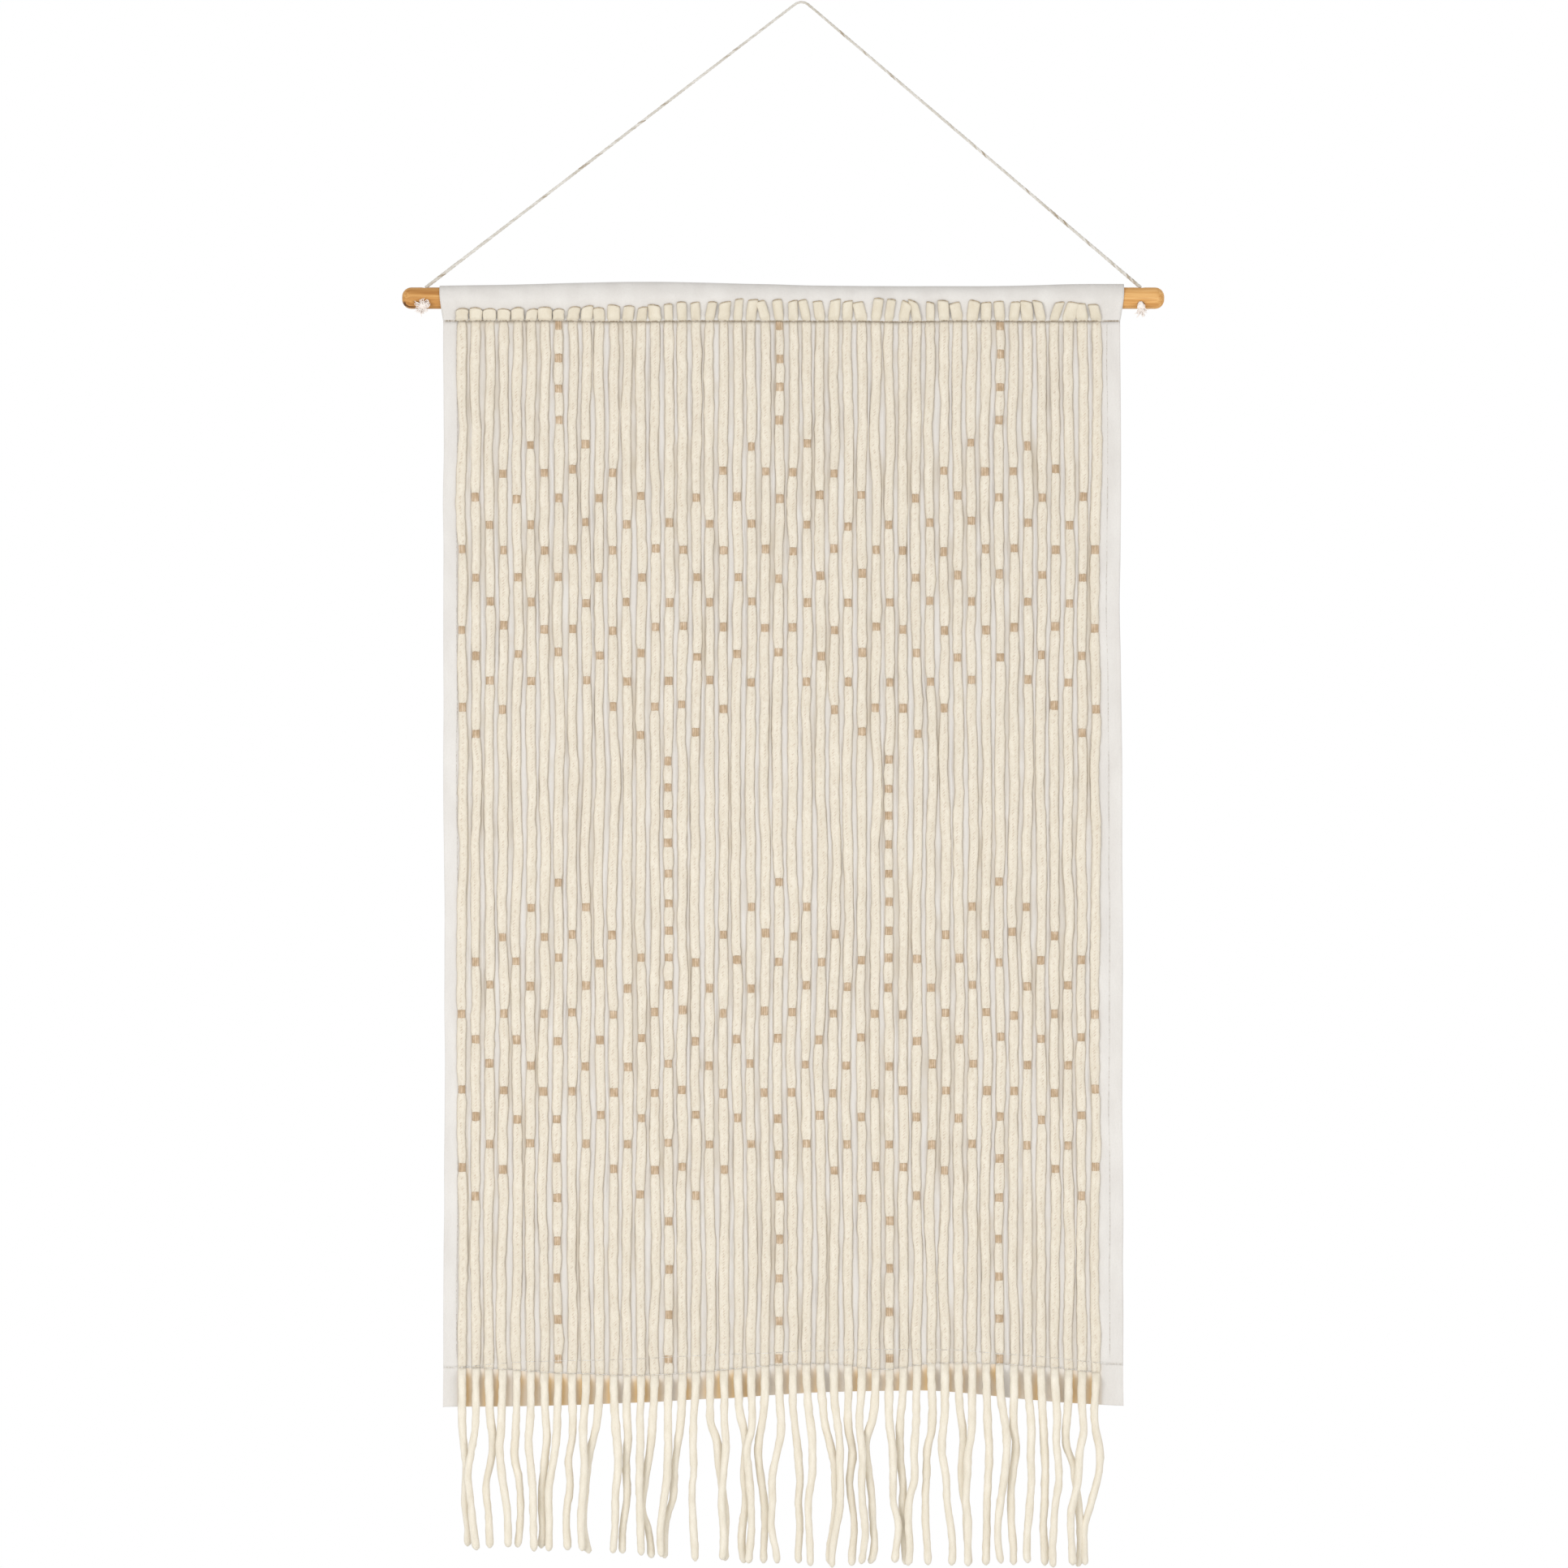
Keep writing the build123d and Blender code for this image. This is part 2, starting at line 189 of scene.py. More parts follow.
# ---- meshes ----
class Piece:
    """Collects grids of points, and makes one mesh object of them."""

    def __init__(self):
        self.points = []
        self.lies = []
        self.faces = []
        self.count = 0

    def grid(self, points, lie, closed=False, caps=False):
        """Adds a surface through rows of points. closed joins each row's ends; caps fills the end rows."""
        rows, columns = points.shape[:2]
        index = np.arange(rows * columns).reshape(rows, columns) + self.count
        right = np.roll(index, -1, axis=1)
        last = columns if closed else columns - 1
        quads = np.stack(
            [index[:-1, :last], index[1:, :last], right[1:, :last], right[:-1, :last]], axis=-1
        )
        self.faces += quads.reshape(-1, 4).tolist()
        if caps:
            self.faces += [index[0].tolist(), index[-1][::-1].tolist()]
        self.points.append(points.reshape(-1, 3))
        self.lies.append(np.broadcast_to(lie, points.shape).reshape(-1, 3))
        self.count += rows * columns

    def build(self, name, material):
        mesh = bpy.data.meshes.new(name)
        mesh.from_pydata(np.concatenate(self.points).tolist(), [], self.faces)
        attribute = mesh.attributes.new("lie", "FLOAT_VECTOR", "POINT")
        attribute.data.foreach_set("vector", np.concatenate(self.lies).astype(np.float32).ravel())
        mesh.shade_smooth()
        mesh.materials.append(material)
        piece = add_object(name, mesh)
        return piece


def thicken(made, thickness, offset, back=None):
    """Gives a sheet's mesh its thickness, on the side that offset says. The new side's cloth gets no painted
    shade.
    back, if given, is where the new side's points go, with NaN for those that stay."""
    count = len(made.data.vertices)
    thick = made.modifiers.new("thickness", "SOLIDIFY")
    thick.thickness = thickness
    thick.offset = offset
    depsgraph = bpy.context.evaluated_depsgraph_get()
    evaluated = made.evaluated_get(depsgraph)
    solid = bpy.data.meshes.new_from_object(evaluated, preserve_all_data_layers=True, depsgraph=depsgraph)
    made.modifiers.clear()
    made.data = solid
    lies = np.empty(len(solid.vertices) * 3, np.float32)
    solid.attributes["lie"].data.foreach_get("vector", lies)
    lies[count * 3 + 2 :: 3] = 0
    solid.attributes["lie"].data.foreach_set("vector", lies)
    if back is not None:
        places = np.empty(len(solid.vertices) * 3, np.float32)
        solid.vertices.foreach_get("co", places)
        new_side = places[count * 3 : count * 6]
        moved = ~np.isnan(back.ravel())
        new_side[moved] = back.ravel()[moved]
        solid.vertices.foreach_set("co", places)
        solid.update()


TUBE_END_SIZE = 0.35
TUBE_END_REACH = 0.6


def tube(piece, path, radius, sides, number):
    """Adds a closed tube of round section along a path, with its ends drawn in."""
    path = np.asarray(path, float)
    radius = np.broadcast_to(np.asarray(radius, float), len(path)).copy()
    tangent, side, other = directions(path, (0.3, 0.9, 0.2))
    angle = np.arange(sides) * 2 * math.pi / sides
    along = np.pad(distances(path), 1, "edge")
    first = path[:1] - tangent[:1] * radius[0] * TUBE_END_REACH
    last = path[-1:] + tangent[-1:] * radius[-1] * TUBE_END_REACH
    path = np.concatenate([first, path, last])
    radius = np.pad(radius, 1, "edge")
    radius[[0, -1]] *= TUBE_END_SIZE
    side, other = (np.pad(way, ((1, 1), (0, 0)), "edge") for way in (side, other))
    ring = np.cos(angle)[None, :, None] * side[:, None] + np.sin(angle)[None, :, None] * other[:, None]
    points = path[:, None] + ring * radius[:, None, None]
    lie = vectors(angle * radius.max() / MM, along[:, None] / MM, number)
    piece.grid(points, lie, closed=True, caps=True)


# ---- materials ----
class Shader:
    """A material's node tree with a Principled BSDF, built a node at a time."""

    def __init__(self, name, roughness, sheen=0.0):
        self.material = bpy.data.materials.new(name)
        self.material.use_nodes = True
        self.tree = self.material.node_tree
        self.surface = self.tree.nodes["Principled BSDF"]
        self.surface.inputs["Roughness"].default_value = roughness
        self.surface.inputs["Sheen Weight"].default_value = sheen
        self.surface.inputs["Sheen Roughness"].default_value = 0.6
        self.surface.inputs["Specular IOR Level"].default_value = 0.2

    def node(self, kind, inputs, **settings):
        """A new node. Each input is given a value, or another node's output to link to."""
        made = self.tree.nodes.new(kind)
        for key, value in settings.items():
            setattr(made, key, value)
        for key, value in inputs.items():
            socket = made.inputs[key]
            if isinstance(value, bpy.types.NodeSocket):
                self.tree.links.new(value, socket)
            elif socket.type == "RGBA":
                socket.default_value = (*value, 1)
            else:
                socket.default_value = value
        return made

    def lie(self):
        return self.node("ShaderNodeAttribute", {}, attribute_name="lie").outputs["Vector"]

    def place(self):
        return self.node("ShaderNodeTexCoord", {}).outputs["Object"]

    def mapped(self, vector, scale=(1, 1, 1), turn=(0, 0, 0)):
        inputs = {"Vector": vector, "Scale": scale, "Rotation": turn}
        return self.node("ShaderNodeMapping", inputs).outputs["Vector"]

    def noise(self, vector, scale, detail=2.0, roughness=0.5, turn=(0, 0, 0)):
        """Noise on a vector that is stretched by scale and turned."""
        place = self.mapped(vector, scale, turn)
        inputs = {"Vector": place, "Scale": 1.0, "Detail": detail, "Roughness": roughness}
        return self.node("ShaderNodeTexNoise", inputs).outputs["Fac"]

    def wave(self, vector, scale, direction, distortion=0.0):
        inputs = {"Vector": vector, "Scale": scale, "Distortion": distortion}
        return self.node("ShaderNodeTexWave", inputs, bands_direction=direction).outputs["Fac"]

    def ramp(self, value, stops):
        """stops are (place, colour) pairs."""
        made = self.node("ShaderNodeValToRGB", {"Fac": value})
        elements = made.color_ramp.elements
        while len(elements) < len(stops):
            elements.new(0.5)
        for element, (place, colour) in zip(elements, stops):
            element.position = place
            element.color = (*colour, 1)
        return made.outputs["Color"]

    def mask(self, value, low, high, ends=(0, 1)):
        """Grey that goes from the first of ends at low to the second at high."""
        return self.ramp(value, [(place, (grey, grey, grey)) for place, grey in zip((low, high), ends)])

    def mix(self, factor, first, second, blend="MIX"):
        inputs = {"Factor": factor, "A": first, "B": second}
        return self.node("ShaderNodeMix", inputs, data_type="RGBA", blend_type=blend).outputs["Result"]

    def maths(self, operation, first, second=0.0):
        return self.node("ShaderNodeMath", {0: first, 1: second}, operation=operation).outputs["Value"]

    def times(self, first, *others):
        for other in others:
            first = self.maths("MULTIPLY", first, other)
        return first

    def tint(self, colour, mask, strength, tint):
        """Mixes a tint into a colour where the mask is white, as far as strength says."""
        return self.mix(self.times(mask, strength), colour, tint)

    def separate(self, vector):
        return self.node("ShaderNodeSeparateXYZ", {"Vector": vector}).outputs

    def bump(self, height, strength, distance, under=None):
        inputs = {"Height": height, "Strength": strength, "Distance": distance}
        if under is not None:
            inputs["Normal"] = under
        return self.node("ShaderNodeBump", inputs).outputs["Normal"]

    def finish(self, colour, normal=None):
        self.tree.links.new(colour, self.surface.inputs["Base Color"])
        if normal is not None:
            self.tree.links.new(normal, self.surface.inputs["Normal"])
        return self.material


RIBS = 7
YARN_LIE = 4.2
ACCENT_LIE = 3.4
rib_width = math.pi * ACCENT_LIE / RIBS


def edge_dots_and_shade(shader, lie, colour, strength):
    """Darkens a yarn's two sides, as seen from the front: a painted shade where the yarn meets the cloth,
    with uneven brown dots of binding thread over it.
    """
    middle = math.pi / 2 * YARN_LIE
    off = shader.maths("ABSOLUTE", shader.maths("SUBTRACT", shader.separate(lie)["X"], middle))
    edge = shader.mask(shader.maths("DIVIDE", off, middle), 0.50, 0.76)
    spots = shader.noise(lie, (1.1, 1.0, 4.1), 1.0)
    dots = shader.mask(spots, 0.40, 0.60, (0.3, 1))
    return shader.mix(shader.times(edge, dots, strength), colour, (0.38, 0.275, 0.16))


def wool_material():
    """Felted cream wool. Threads cross it in a column of small slanting dashes, and dot its edges, where a
    painted shade also lies.
    """
    shader = Shader("wool", 0.95, sheen=0.2)
    lie = shader.lie()
    mottle = shader.noise(lie, (0.16, 0.05, 3.1), 3.0)
    colour = shader.ramp(mottle, [(0.3, (0.78, 0.712, 0.592)), (0.7, (0.85, 0.787, 0.668))])
    felt = shader.mask(shader.noise(lie, (0.55, 0.3, 6.1), 4.0, 0.7), 0.44, 0.66)
    colour = shader.tint(colour, felt, 0.3, (0.60, 0.50, 0.36))
    wander = shader.noise(lie, (0, 0.02, 2.7), 2.0)
    off_middle = shader.maths("SUBTRACT", shader.separate(lie)["X"], math.pi / 2 * YARN_LIE)
    off_column = shader.maths("ADD", off_middle, shader.times(shader.maths("SUBTRACT", wander, 0.5), 6.0))
    column = shader.mask(shader.maths("ABSOLUTE", off_column), 0.35, 0.95, (1, 0))
    slanting = shader.wave(shader.mapped(lie, (1, 1, 1), (0, 0, -0.95)), 0.21, "Y", 2.5)
    dashes = shader.mask(slanting, 0.45, 0.85)
    patchy = shader.mask(shader.noise(lie, (0.5, 0.3, 3.7), 2.0), 0.42, 0.58)
    dashes = shader.times(dashes, patchy, column)
    colour = shader.tint(colour, dashes, 0.45, (0.52, 0.36, 0.24))
    flecks = shader.noise(lie, (2.1, 1.0, 5.3), 2.0, 0.6, (0, 0, -0.6))
    fleck_mask = shader.mask(flecks, 0.53, 0.72)
    colour = shader.tint(colour, fleck_mask, 0.26, (0.54, 0.42, 0.29))
    # Brown dots of binding thread and a painted shade along the yarn's sides.
    colour = edge_dots_and_shade(shader, lie, colour, 0.48)
    fibres = shader.noise(lie, (3.4, 1.1, 2.3), 4.0, 0.75)
    relief = shader.maths("SUBTRACT", fibres, shader.times(dashes, 0.5))
    return shader.finish(colour, shader.bump(relief, 0.75, 0.6 * MM))


def strand_material(name, dark, light, edge):
    """The same wool where no threads bind it: smoother, with short loose hairs, and fainter edge dots and
    painted edge shade.
    """
    shader = Shader(name, 0.95, sheen=0.2)
    lie = shader.lie()
    mottle = shader.noise(lie, (0.2, 0.06, 3.1), 3.0)
    colour = shader.ramp(mottle, [(0.3, dark), (0.7, light)])
    hairs = shader.noise(lie, (1.7, 0.5, 4.3), 3.0, 0.65, (0, 0, 0.35))
    hair_mask = shader.mask(hairs, 0.52, 0.75)
    colour = shader.tint(colour, hair_mask, 0.3, (0.60, 0.49, 0.34))
    # edge sets how strong the brown dots and the painted shade along the sides are.
    colour = edge_dots_and_shade(shader, lie, colour, edge)
    fibres = shader.noise(lie, (3.0, 0.9, 2.3), 4.0, 0.75)
    return shader.finish(colour, shader.bump(fibres, 0.8, 0.6 * MM))


def cloth_material():
    """Plain-weave cotton. lie's last number paints shade on it: above 0 a golden shadow, warmed by light
    reflected off the wool, and below 0 a grey-beige shade.
    """
    shader = Shader("cloth", 0.9, sheen=0.15)
    lie = shader.lie()
    across = shader.wave(lie, 0.6, "X", 0.6)
    along = shader.wave(lie, 0.6, "Y", 0.6)
    weave = shader.times(across, along)
    mottle = shader.noise(lie, (0.05, 0.02, 0), 4.0)
    colour = shader.ramp(mottle, [(0.3, (0.69, 0.66, 0.625)), (0.7, (0.755, 0.73, 0.695))])
    specks = shader.mask(shader.noise(lie, (0.8, 0.6, 0), 2.0), 0.5, 0.7)
    colour = shader.tint(colour, specks, 0.16, (0.60, 0.56, 0.51))
    # Painted shade: golden shadow with light reflected off the wool, then grey-beige shade.
    tint = shader.separate(lie)["Z"]
    colour = shader.mix(shader.maths("MAXIMUM", tint, 0.0), colour, (0.78, 0.555, 0.29))
    colour = shader.mix(shader.maths("MAXIMUM", shader.times(tint, -1.0), 0.0), colour, (0.55, 0.475, 0.36))
    normal = shader.bump(weave, 0.35, 0.25 * MM)
    crease = shader.noise(lie, (0.35, 0.12, 0), 3.0)
    return shader.finish(colour, shader.bump(crease, 0.35, 1.2 * MM, normal))


def accent_material():
    """Fine tan thread: each rib has its own shade, and dark lines part them."""
    shader = Shader("accent", 0.8, sheen=0.2)
    lie = shader.lie()
    shade = shader.noise(lie, (0.45, 0.16, 4.7), 2.0, 0.6)
    colour = shader.ramp(
        shade,
        [(0.32, (0.46, 0.325, 0.20)), (0.50, (0.58, 0.43, 0.285)), (0.70, (0.72, 0.575, 0.425))],
    )
    off_parting = shader.maths("PINGPONG", shader.separate(lie)["X"], rib_width / 2)
    across = shader.maths("DIVIDE", off_parting, rib_width / 2)
    parting = shader.mask(across, 0.10, 0.55, (1, 0))
    colour = shader.tint(colour, parting, 0.5, (0.27, 0.18, 0.10))
    ply = shader.wave(shader.mapped(lie, (1, 1, 1), (0, 0, 0.6)), 0.4, "Y", 1.0)
    return shader.finish(colour, shader.bump(ply, 0.5, 0.2 * MM))


def thread_material(name, shades):
    """Sewing thread. Its shades, spread by noise along it, run from darker, a painted shade as where it dips
    into the cloth, to where it lies on top.
    """
    shader = Shader(name, 0.7)
    lie = shader.lie()
    shade = shader.noise(lie, (0.2, 0.35, 0.83), 2.0)
    colour = shader.ramp(shade, list(zip((0.38, 0.52, 0.62), shades)))
    ply = shader.wave(shader.mapped(lie, (1, 1, 1), (0, 0, 0.7)), 1.6, "Y", 0.5)
    return shader.finish(colour, shader.bump(ply, 0.5, 0.1 * MM))


def cord_material():
    """Twisted cotton cord: grey-white, with a few short brown patches."""
    shader = Shader("cord", 0.85, sheen=0.2)
    lie = shader.lie()
    patches = shader.noise(lie, (0.02, 0.03, 0.9), 3.0)
    colour = shader.ramp(
        patches, [(0.33, (0.36, 0.28, 0.19)), (0.42, (0.58, 0.54, 0.47)), (0.6, (0.72, 0.69, 0.64))]
    )
    fibres = shader.noise(lie, (3.0, 0.8, 2.0), 3.0)
    return shader.finish(colour, shader.bump(fibres, 0.6, 0.2 * MM))


def mottled_material(name, scale, stops, relief, roughness=0.9, sheen=0.0):
    """Loose cotton, or the painted shadow line along the tabs' tops, with one noise for its shades and its
    relief.
    """
    shader = Shader(name, roughness, sheen)
    shade = shader.noise(shader.lie(), scale, 2.0)
    return shader.finish(shader.ramp(shade, stops), shader.bump(shade, *relief))


def wood_material():
    """Honey-coloured wood with its grain along the dowel, darker at the left, with a burnt streak there."""
    shader = Shader("wood", 0.6)
    place = shader.place()
    grain = shader.noise(place, (11, 330, 330), 6.0, 0.62)
    colour = shader.ramp(
        grain,
        [
            (0.34, (0.52, 0.235, 0.065)),
            (0.44, (0.68, 0.35, 0.11)),
            (0.54, (0.78, 0.435, 0.155)),
            (0.66, (0.88, 0.54, 0.22)),
        ],
    )
    rings = shader.noise(place, (16, 700, 700), 3.0, 0.6)
    lines = shader.mask(rings, 0.53, 0.60)
    colour = shader.tint(colour, lines, 0.42, (0.44, 0.19, 0.05))
    across = shader.maths("ADD", shader.separate(place)["X"], 0.5)
    sides = shader.ramp(across, [(0.17, (0.86, 0.82, 0.76)), (0.82, (1, 1, 1))])
    colour = shader.mix(1.0, colour, sides, "MULTIPLY")
    pores = shader.noise(place, (60, 2200, 2200), 2.0, 0.6)
    colour = shader.tint(colour, pores, 0.2, (0.34, 0.15, 0.05))
    burnt = shader.mask(shader.noise(place, (55, 260, 260), 1.0), 0.47, 0.53)
    drop = shader.maths("SUBTRACT", dowel_z, shader.separate(place)["Z"])
    low = shader.mask(shader.times(drop, 1 / dowel_radius), 0.25, 0.5)
    far_left = shader.mask(shader.maths("ADD", shader.separate(place)["X"], 0.36), 0.016, 0.034, (1, 0))
    burnt = shader.times(burnt, low, far_left)
    colour = shader.tint(colour, burnt, 0.9, (0.07, 0.022, 0.006))
    return shader.finish(colour, shader.bump(pores, 0.2, 0.2 * MM))


def floor_material():
    shader = Shader("floor", 0.9)
    grain = shader.noise(shader.place(), (3, 3, 3), 4.0)
    colour = shader.ramp(grain, [(0.3, (0.80, 0.80, 0.79)), (0.7, (0.83, 0.83, 0.82))])
    return shader.finish(colour)


wool = wool_material()
wool_strand = strand_material("wool_strand", (0.84, 0.77, 0.635), (0.93, 0.87, 0.75), 0.16)
# The tabs' wool is a darker copy of the fringe's wool: painted shade for the tabs' pinch and the shadows
# among them.
wool_tab = strand_material("wool_tab", (0.73, 0.657, 0.52), (0.81, 0.747, 0.618), 0.2)
cloth = cloth_material()
accent = accent_material()
brown_thread = thread_material("brown_thread", [(0.30, 0.23, 0.15), (0.42, 0.34, 0.25), (0.66, 0.60, 0.52)])
white_thread = thread_material("white_thread", [(0.56, 0.51, 0.44), (0.76, 0.73, 0.68), (0.86, 0.84, 0.80)])
# The dark line along the tabs' tops is painted shadow, where each tab meets the pocket.
tab_shadow_shades = [(0.35, (0.36, 0.27, 0.165)), (0.65, (0.60, 0.49, 0.345))]
tab_edge = mottled_material("tab_edge", (0.6, 0.5, 1.9), tab_shadow_shades, (0.5, 0.2 * MM))
cord_cotton = cord_material()
fray_shades = [(0.3, (0.80, 0.70, 0.63)), (0.65, (0.93, 0.88, 0.84))]
fray = mottled_material("fray", (0.5, 0.3, 1.7), fray_shades, (0.3, 0.1 * MM), roughness=0.85, sheen=0.2)
wood = wood_material()

# ---- camera ----
# It looks straight at the hanging from far away, with its picture as wide as the hanging is high.
picture_width = 1391 * MM
picture_centre = (-15.8 * MM, -692.6 * MM)
camera_data = bpy.data.cameras.new("camera")
camera_data.lens = 200
camera_data.sensor_width = 36
camera = add_object("camera", camera_data)
camera_distance = picture_width * camera_data.lens / camera_data.sensor_width
camera.location = (picture_centre[0], -camera_distance, picture_centre[1])
camera.rotation_euler = (math.radians(90), 0, 0)
camera_data.clip_end = 60
bpy.context.scene.camera = camera
bpy.context.scene.view_settings.view_transform = "Standard"

# ---- hanging cord ----
# The CAD route's points, with one more on each taut run, six diameters from the bend.
cord_diameter = 2.8 * MM
left_mouth = (-333.5 * MM, 0, mouth_z)
right_mouth = (300.5 * MM, 0, mouth_z)
left_run = (-13.3 * MM, 0, -6.4 * MM)
bend_corner = (0, 0, 3.6 * MM)
right_run = (12.9 * MM, 0, -7.2 * MM)
cord_route = [left_mouth, left_run, bend_corner, right_run, right_mouth]


ROUTE_STEPS = 400


def route_points(route, name):
    """Points a fraction of a millimetre apart on the smooth line of a route."""
    curve = bpy.data.curves.new(name, "CURVE")
    curve.dimensions = "3D"
    curve.resolution_u = ROUTE_STEPS
    spline = curve.splines.new("NURBS")
    spline.points.add(len(route) - 1)
    for point, place in zip(spline.points, route):
        point.co = (*place, 1)
    spline.order_u = 3
    spline.use_endpoint_u = True
    holder = bpy.data.objects.new(name, curve)
    line = bpy.data.meshes.new_from_object(holder)
    points = np.array([v.co for v in line.vertices], float)
    bpy.data.objects.remove(holder)
    bpy.data.curves.remove(curve)
    bpy.data.meshes.remove(line)
    return points


def resample(points, step):
    """Evenly spaced points along a line."""
    along = distances(points)
    wanted = np.linspace(0, along[-1], max(2, int(round(along[-1] / step)) + 1))
    return np.stack([np.interp(wanted, along, points[:, n]) for n in range(3)], axis=1), wanted


ROPE_STRANDS = 3
STRAND_SHARE = 0.30  # a strand's radius as a share of the rope's diameter


def lay_rope(piece, line, diameter, lay_length, sides=7, step=0.7 * MM, swell=None):
    """Adds the strands of a twisted rope that follows a line. swell gives its size at each distance."""
    points, along = resample(line, step)
    _, side, other = directions(points, (0.2, 0.95, 0.1))
    size = np.ones(len(points)) if swell is None else swell(along)
    strand_size = diameter * STRAND_SHARE
    reach = (diameter / 2 - strand_size) * size
    for k in range(ROPE_STRANDS):
        angle = along / lay_length * 2 * math.pi + k * 2 * math.pi / ROPE_STRANDS
        path = points + (np.cos(angle) * reach)[:, None] * side + (np.sin(angle) * reach)[:, None] * other
        thickness = strand_size * size * (1 + 0.08 * cells(3, along, k, 3))
        tube(piece, path, thickness, sides, k)


cord_line = route_points(cord_route, "cord_route")
cord_piece = Piece()


def cord_swell(along):
    """The cord is thinner by its bend, where it is pulled round the peg, and fuller towards the dowel."""
    middle = along[-1] / 2
    off = abs(along - middle) / middle
    size = 0.86 + 0.08 * smoothstep(0.05, 0.5, off) + 0.20 * smoothstep(0.7, 1.0, off)
    return size + 0.03 * cells(9, along, seed=5)


lay_rope(cord_piece, cord_line, cord_diameter, 11 * MM, swell=cord_swell)
cord = cord_piece.build("cord_rope", cord_cotton)
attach(cord, "hanger")
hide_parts("hanging_cord")


# ---- knots ----
def overhand(centre, size, turn):
    """The closed line of a small overhand knot, pulled tight."""
    t = np.linspace(0, 2 * math.pi, 90, endpoint=False)
    x = np.sin(t) + 2 * np.sin(2 * t)
    z = np.cos(t) - 2 * np.cos(2 * t)
    c, s = math.cos(turn), math.sin(turn)
    return np.asarray(centre) + vectors(x * c - z * s, -1.6 * np.sin(3 * t), x * s + z * c) * size


def ball(piece, centre, radius, number):
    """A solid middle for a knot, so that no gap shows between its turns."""
    t = np.linspace(-1, 1, 13)
    path = np.asarray(centre) + vectors(0, 0, t * radius * 0.8)
    tube(piece, path, radius * np.sqrt(np.clip(1 - (t * 0.8) ** 2, 0.1, 1)), 18, number)


TUFT_PLIES = 6


def tuft(piece, root, aim, length, radius, random, loops):
    """A bunch of loose plies that leave a root together, curling a little. Loops come back to the root."""
    for n in range(TUFT_PLIES):
        way = unit(unit(aim) + random.normal(0, 0.13, 3))
        across = unit(np.cross(way, (0, -1, 0.2)))
        reach = length * random.uniform(0.75, 1.05)
        start = np.asarray(root) + random.normal(0, 0.5 * MM, 3)
        if loops and n % 2 == 0:
            t = np.linspace(0, 1, 17)[:, None]
            bulge = across * random.uniform(0.9, 1.5) * MM * np.sin(2 * math.pi * t)
            path = start + way * reach * np.sin(math.pi * t) ** 0.8 + bulge
            tube(piece, path, radius * 0.8, 6, n)
        else:
            t = np.linspace(0, 1, 11)[:, None]
            curl = random.normal(0, 0.22)
            wave = 0.35 * MM * np.sin(t * random.uniform(4, 8) + random.uniform(0, 6))
            path = start + way * reach * t + across * (curl * reach * t * t + wave * t)
            tube(piece, path, radius * (1 - 0.35 * t[:, 0]), 6, n)


KNOT_ROPE = 3.3 * MM
STEM_ROPE = 2.5 * MM
STEM_DEPTH = 1.9 * MM  # where the stem starts, below the bore's upper mouth
BALL_SIZE = 3.2  # the ball's radius in the knot's own unit of size


def knot_piece(name, bore_x, knot_centre, size, turn, tufts, ply_radius, seed, loops):
    """A tied knot low on the dowel's front, its stem in the bore, and the cord's frayed end beyond it."""
    piece = Piece()
    line = overhand(knot_centre, size, turn)
    lay_rope(piece, np.concatenate([line, line[:1]]), KNOT_ROPE, 7 * MM, sides=7, step=0.6 * MM)
    ball(piece, knot_centre, size * BALL_SIZE, ROPE_STRANDS)
    stem = np.linspace((bore_x, 0, mouth_z - STEM_DEPTH), knot_centre, 12)
    lay_rope(piece, stem, STEM_ROPE, 8 * MM, sides=6, step=1.0 * MM)
    made = piece.build(name, fray)
    random = np.random.default_rng(seed)
    tail = Piece()
    for aim, length in tufts:
        tuft(tail, knot_centre, aim, length * MM, ply_radius, random, loops)
    return made, tail.build(name + "_fray", fray)


knot_z = dowel_z - 6.0 * MM
left_knot, left_fray = knot_piece(
    "left_knot_tied",
    left_mouth[0],
    (left_mouth[0] - 2.2 * MM, -9.6 * MM, knot_z - 1.4 * MM),
    0.66 * MM,
    0.4,
    [
        ((-1, -0.3, 0.25), 7.5),
        ((-0.2, -0.45, 1), 6.8),
        ((0.75, -0.4, 0.85), 7.6),
        ((1, -0.35, -0.1), 7.4),
        ((0.6, -0.3, -0.75), 6.6),
        ((-0.25, -0.3, -1), 8.6),
        ((-0.8, -0.3, -0.65), 8.4),
    ],
    0.40 * MM,
    21,
    True,
)
right_knot, right_fray = knot_piece(
    "right_knot_tied",
    right_mouth[0],
    (right_mouth[0], -9.6 * MM, knot_z - 1.2 * MM),
    0.84 * MM,
    1.3,
    [
        ((-0.42, -0.15, -0.9), 7.8),
        ((-0.16, -0.3, -1), 9.4),
        ((0.1, -0.15, -1), 9.8),
        ((0.34, -0.3, -0.95), 9.0),
        ((0.55, -0.1, -0.75), 6.6),
    ],
    0.62 * MM,
    31,
    False,
)
for knot, tail, node in ((left_knot, left_fray, "left_knot"), (right_knot, right_fray, "right_knot")):
    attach(knot, "rail")
    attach(tail, "rail")
    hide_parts(node)
cord_path, _ = resample(cord_line, 2 * MM)

# ---- dowel ----
dowel = frame["nodes"]["dowel"]
if not dowel.material_slots:
    dowel.data.materials.append(wood)
for material_slot in dowel.material_slots:
    material_slot.material = wood

# ---- rod pocket ----
pocket_radius = (pocket_high.y - pocket_low.y) / 2
lip_y = 0.9 * MM


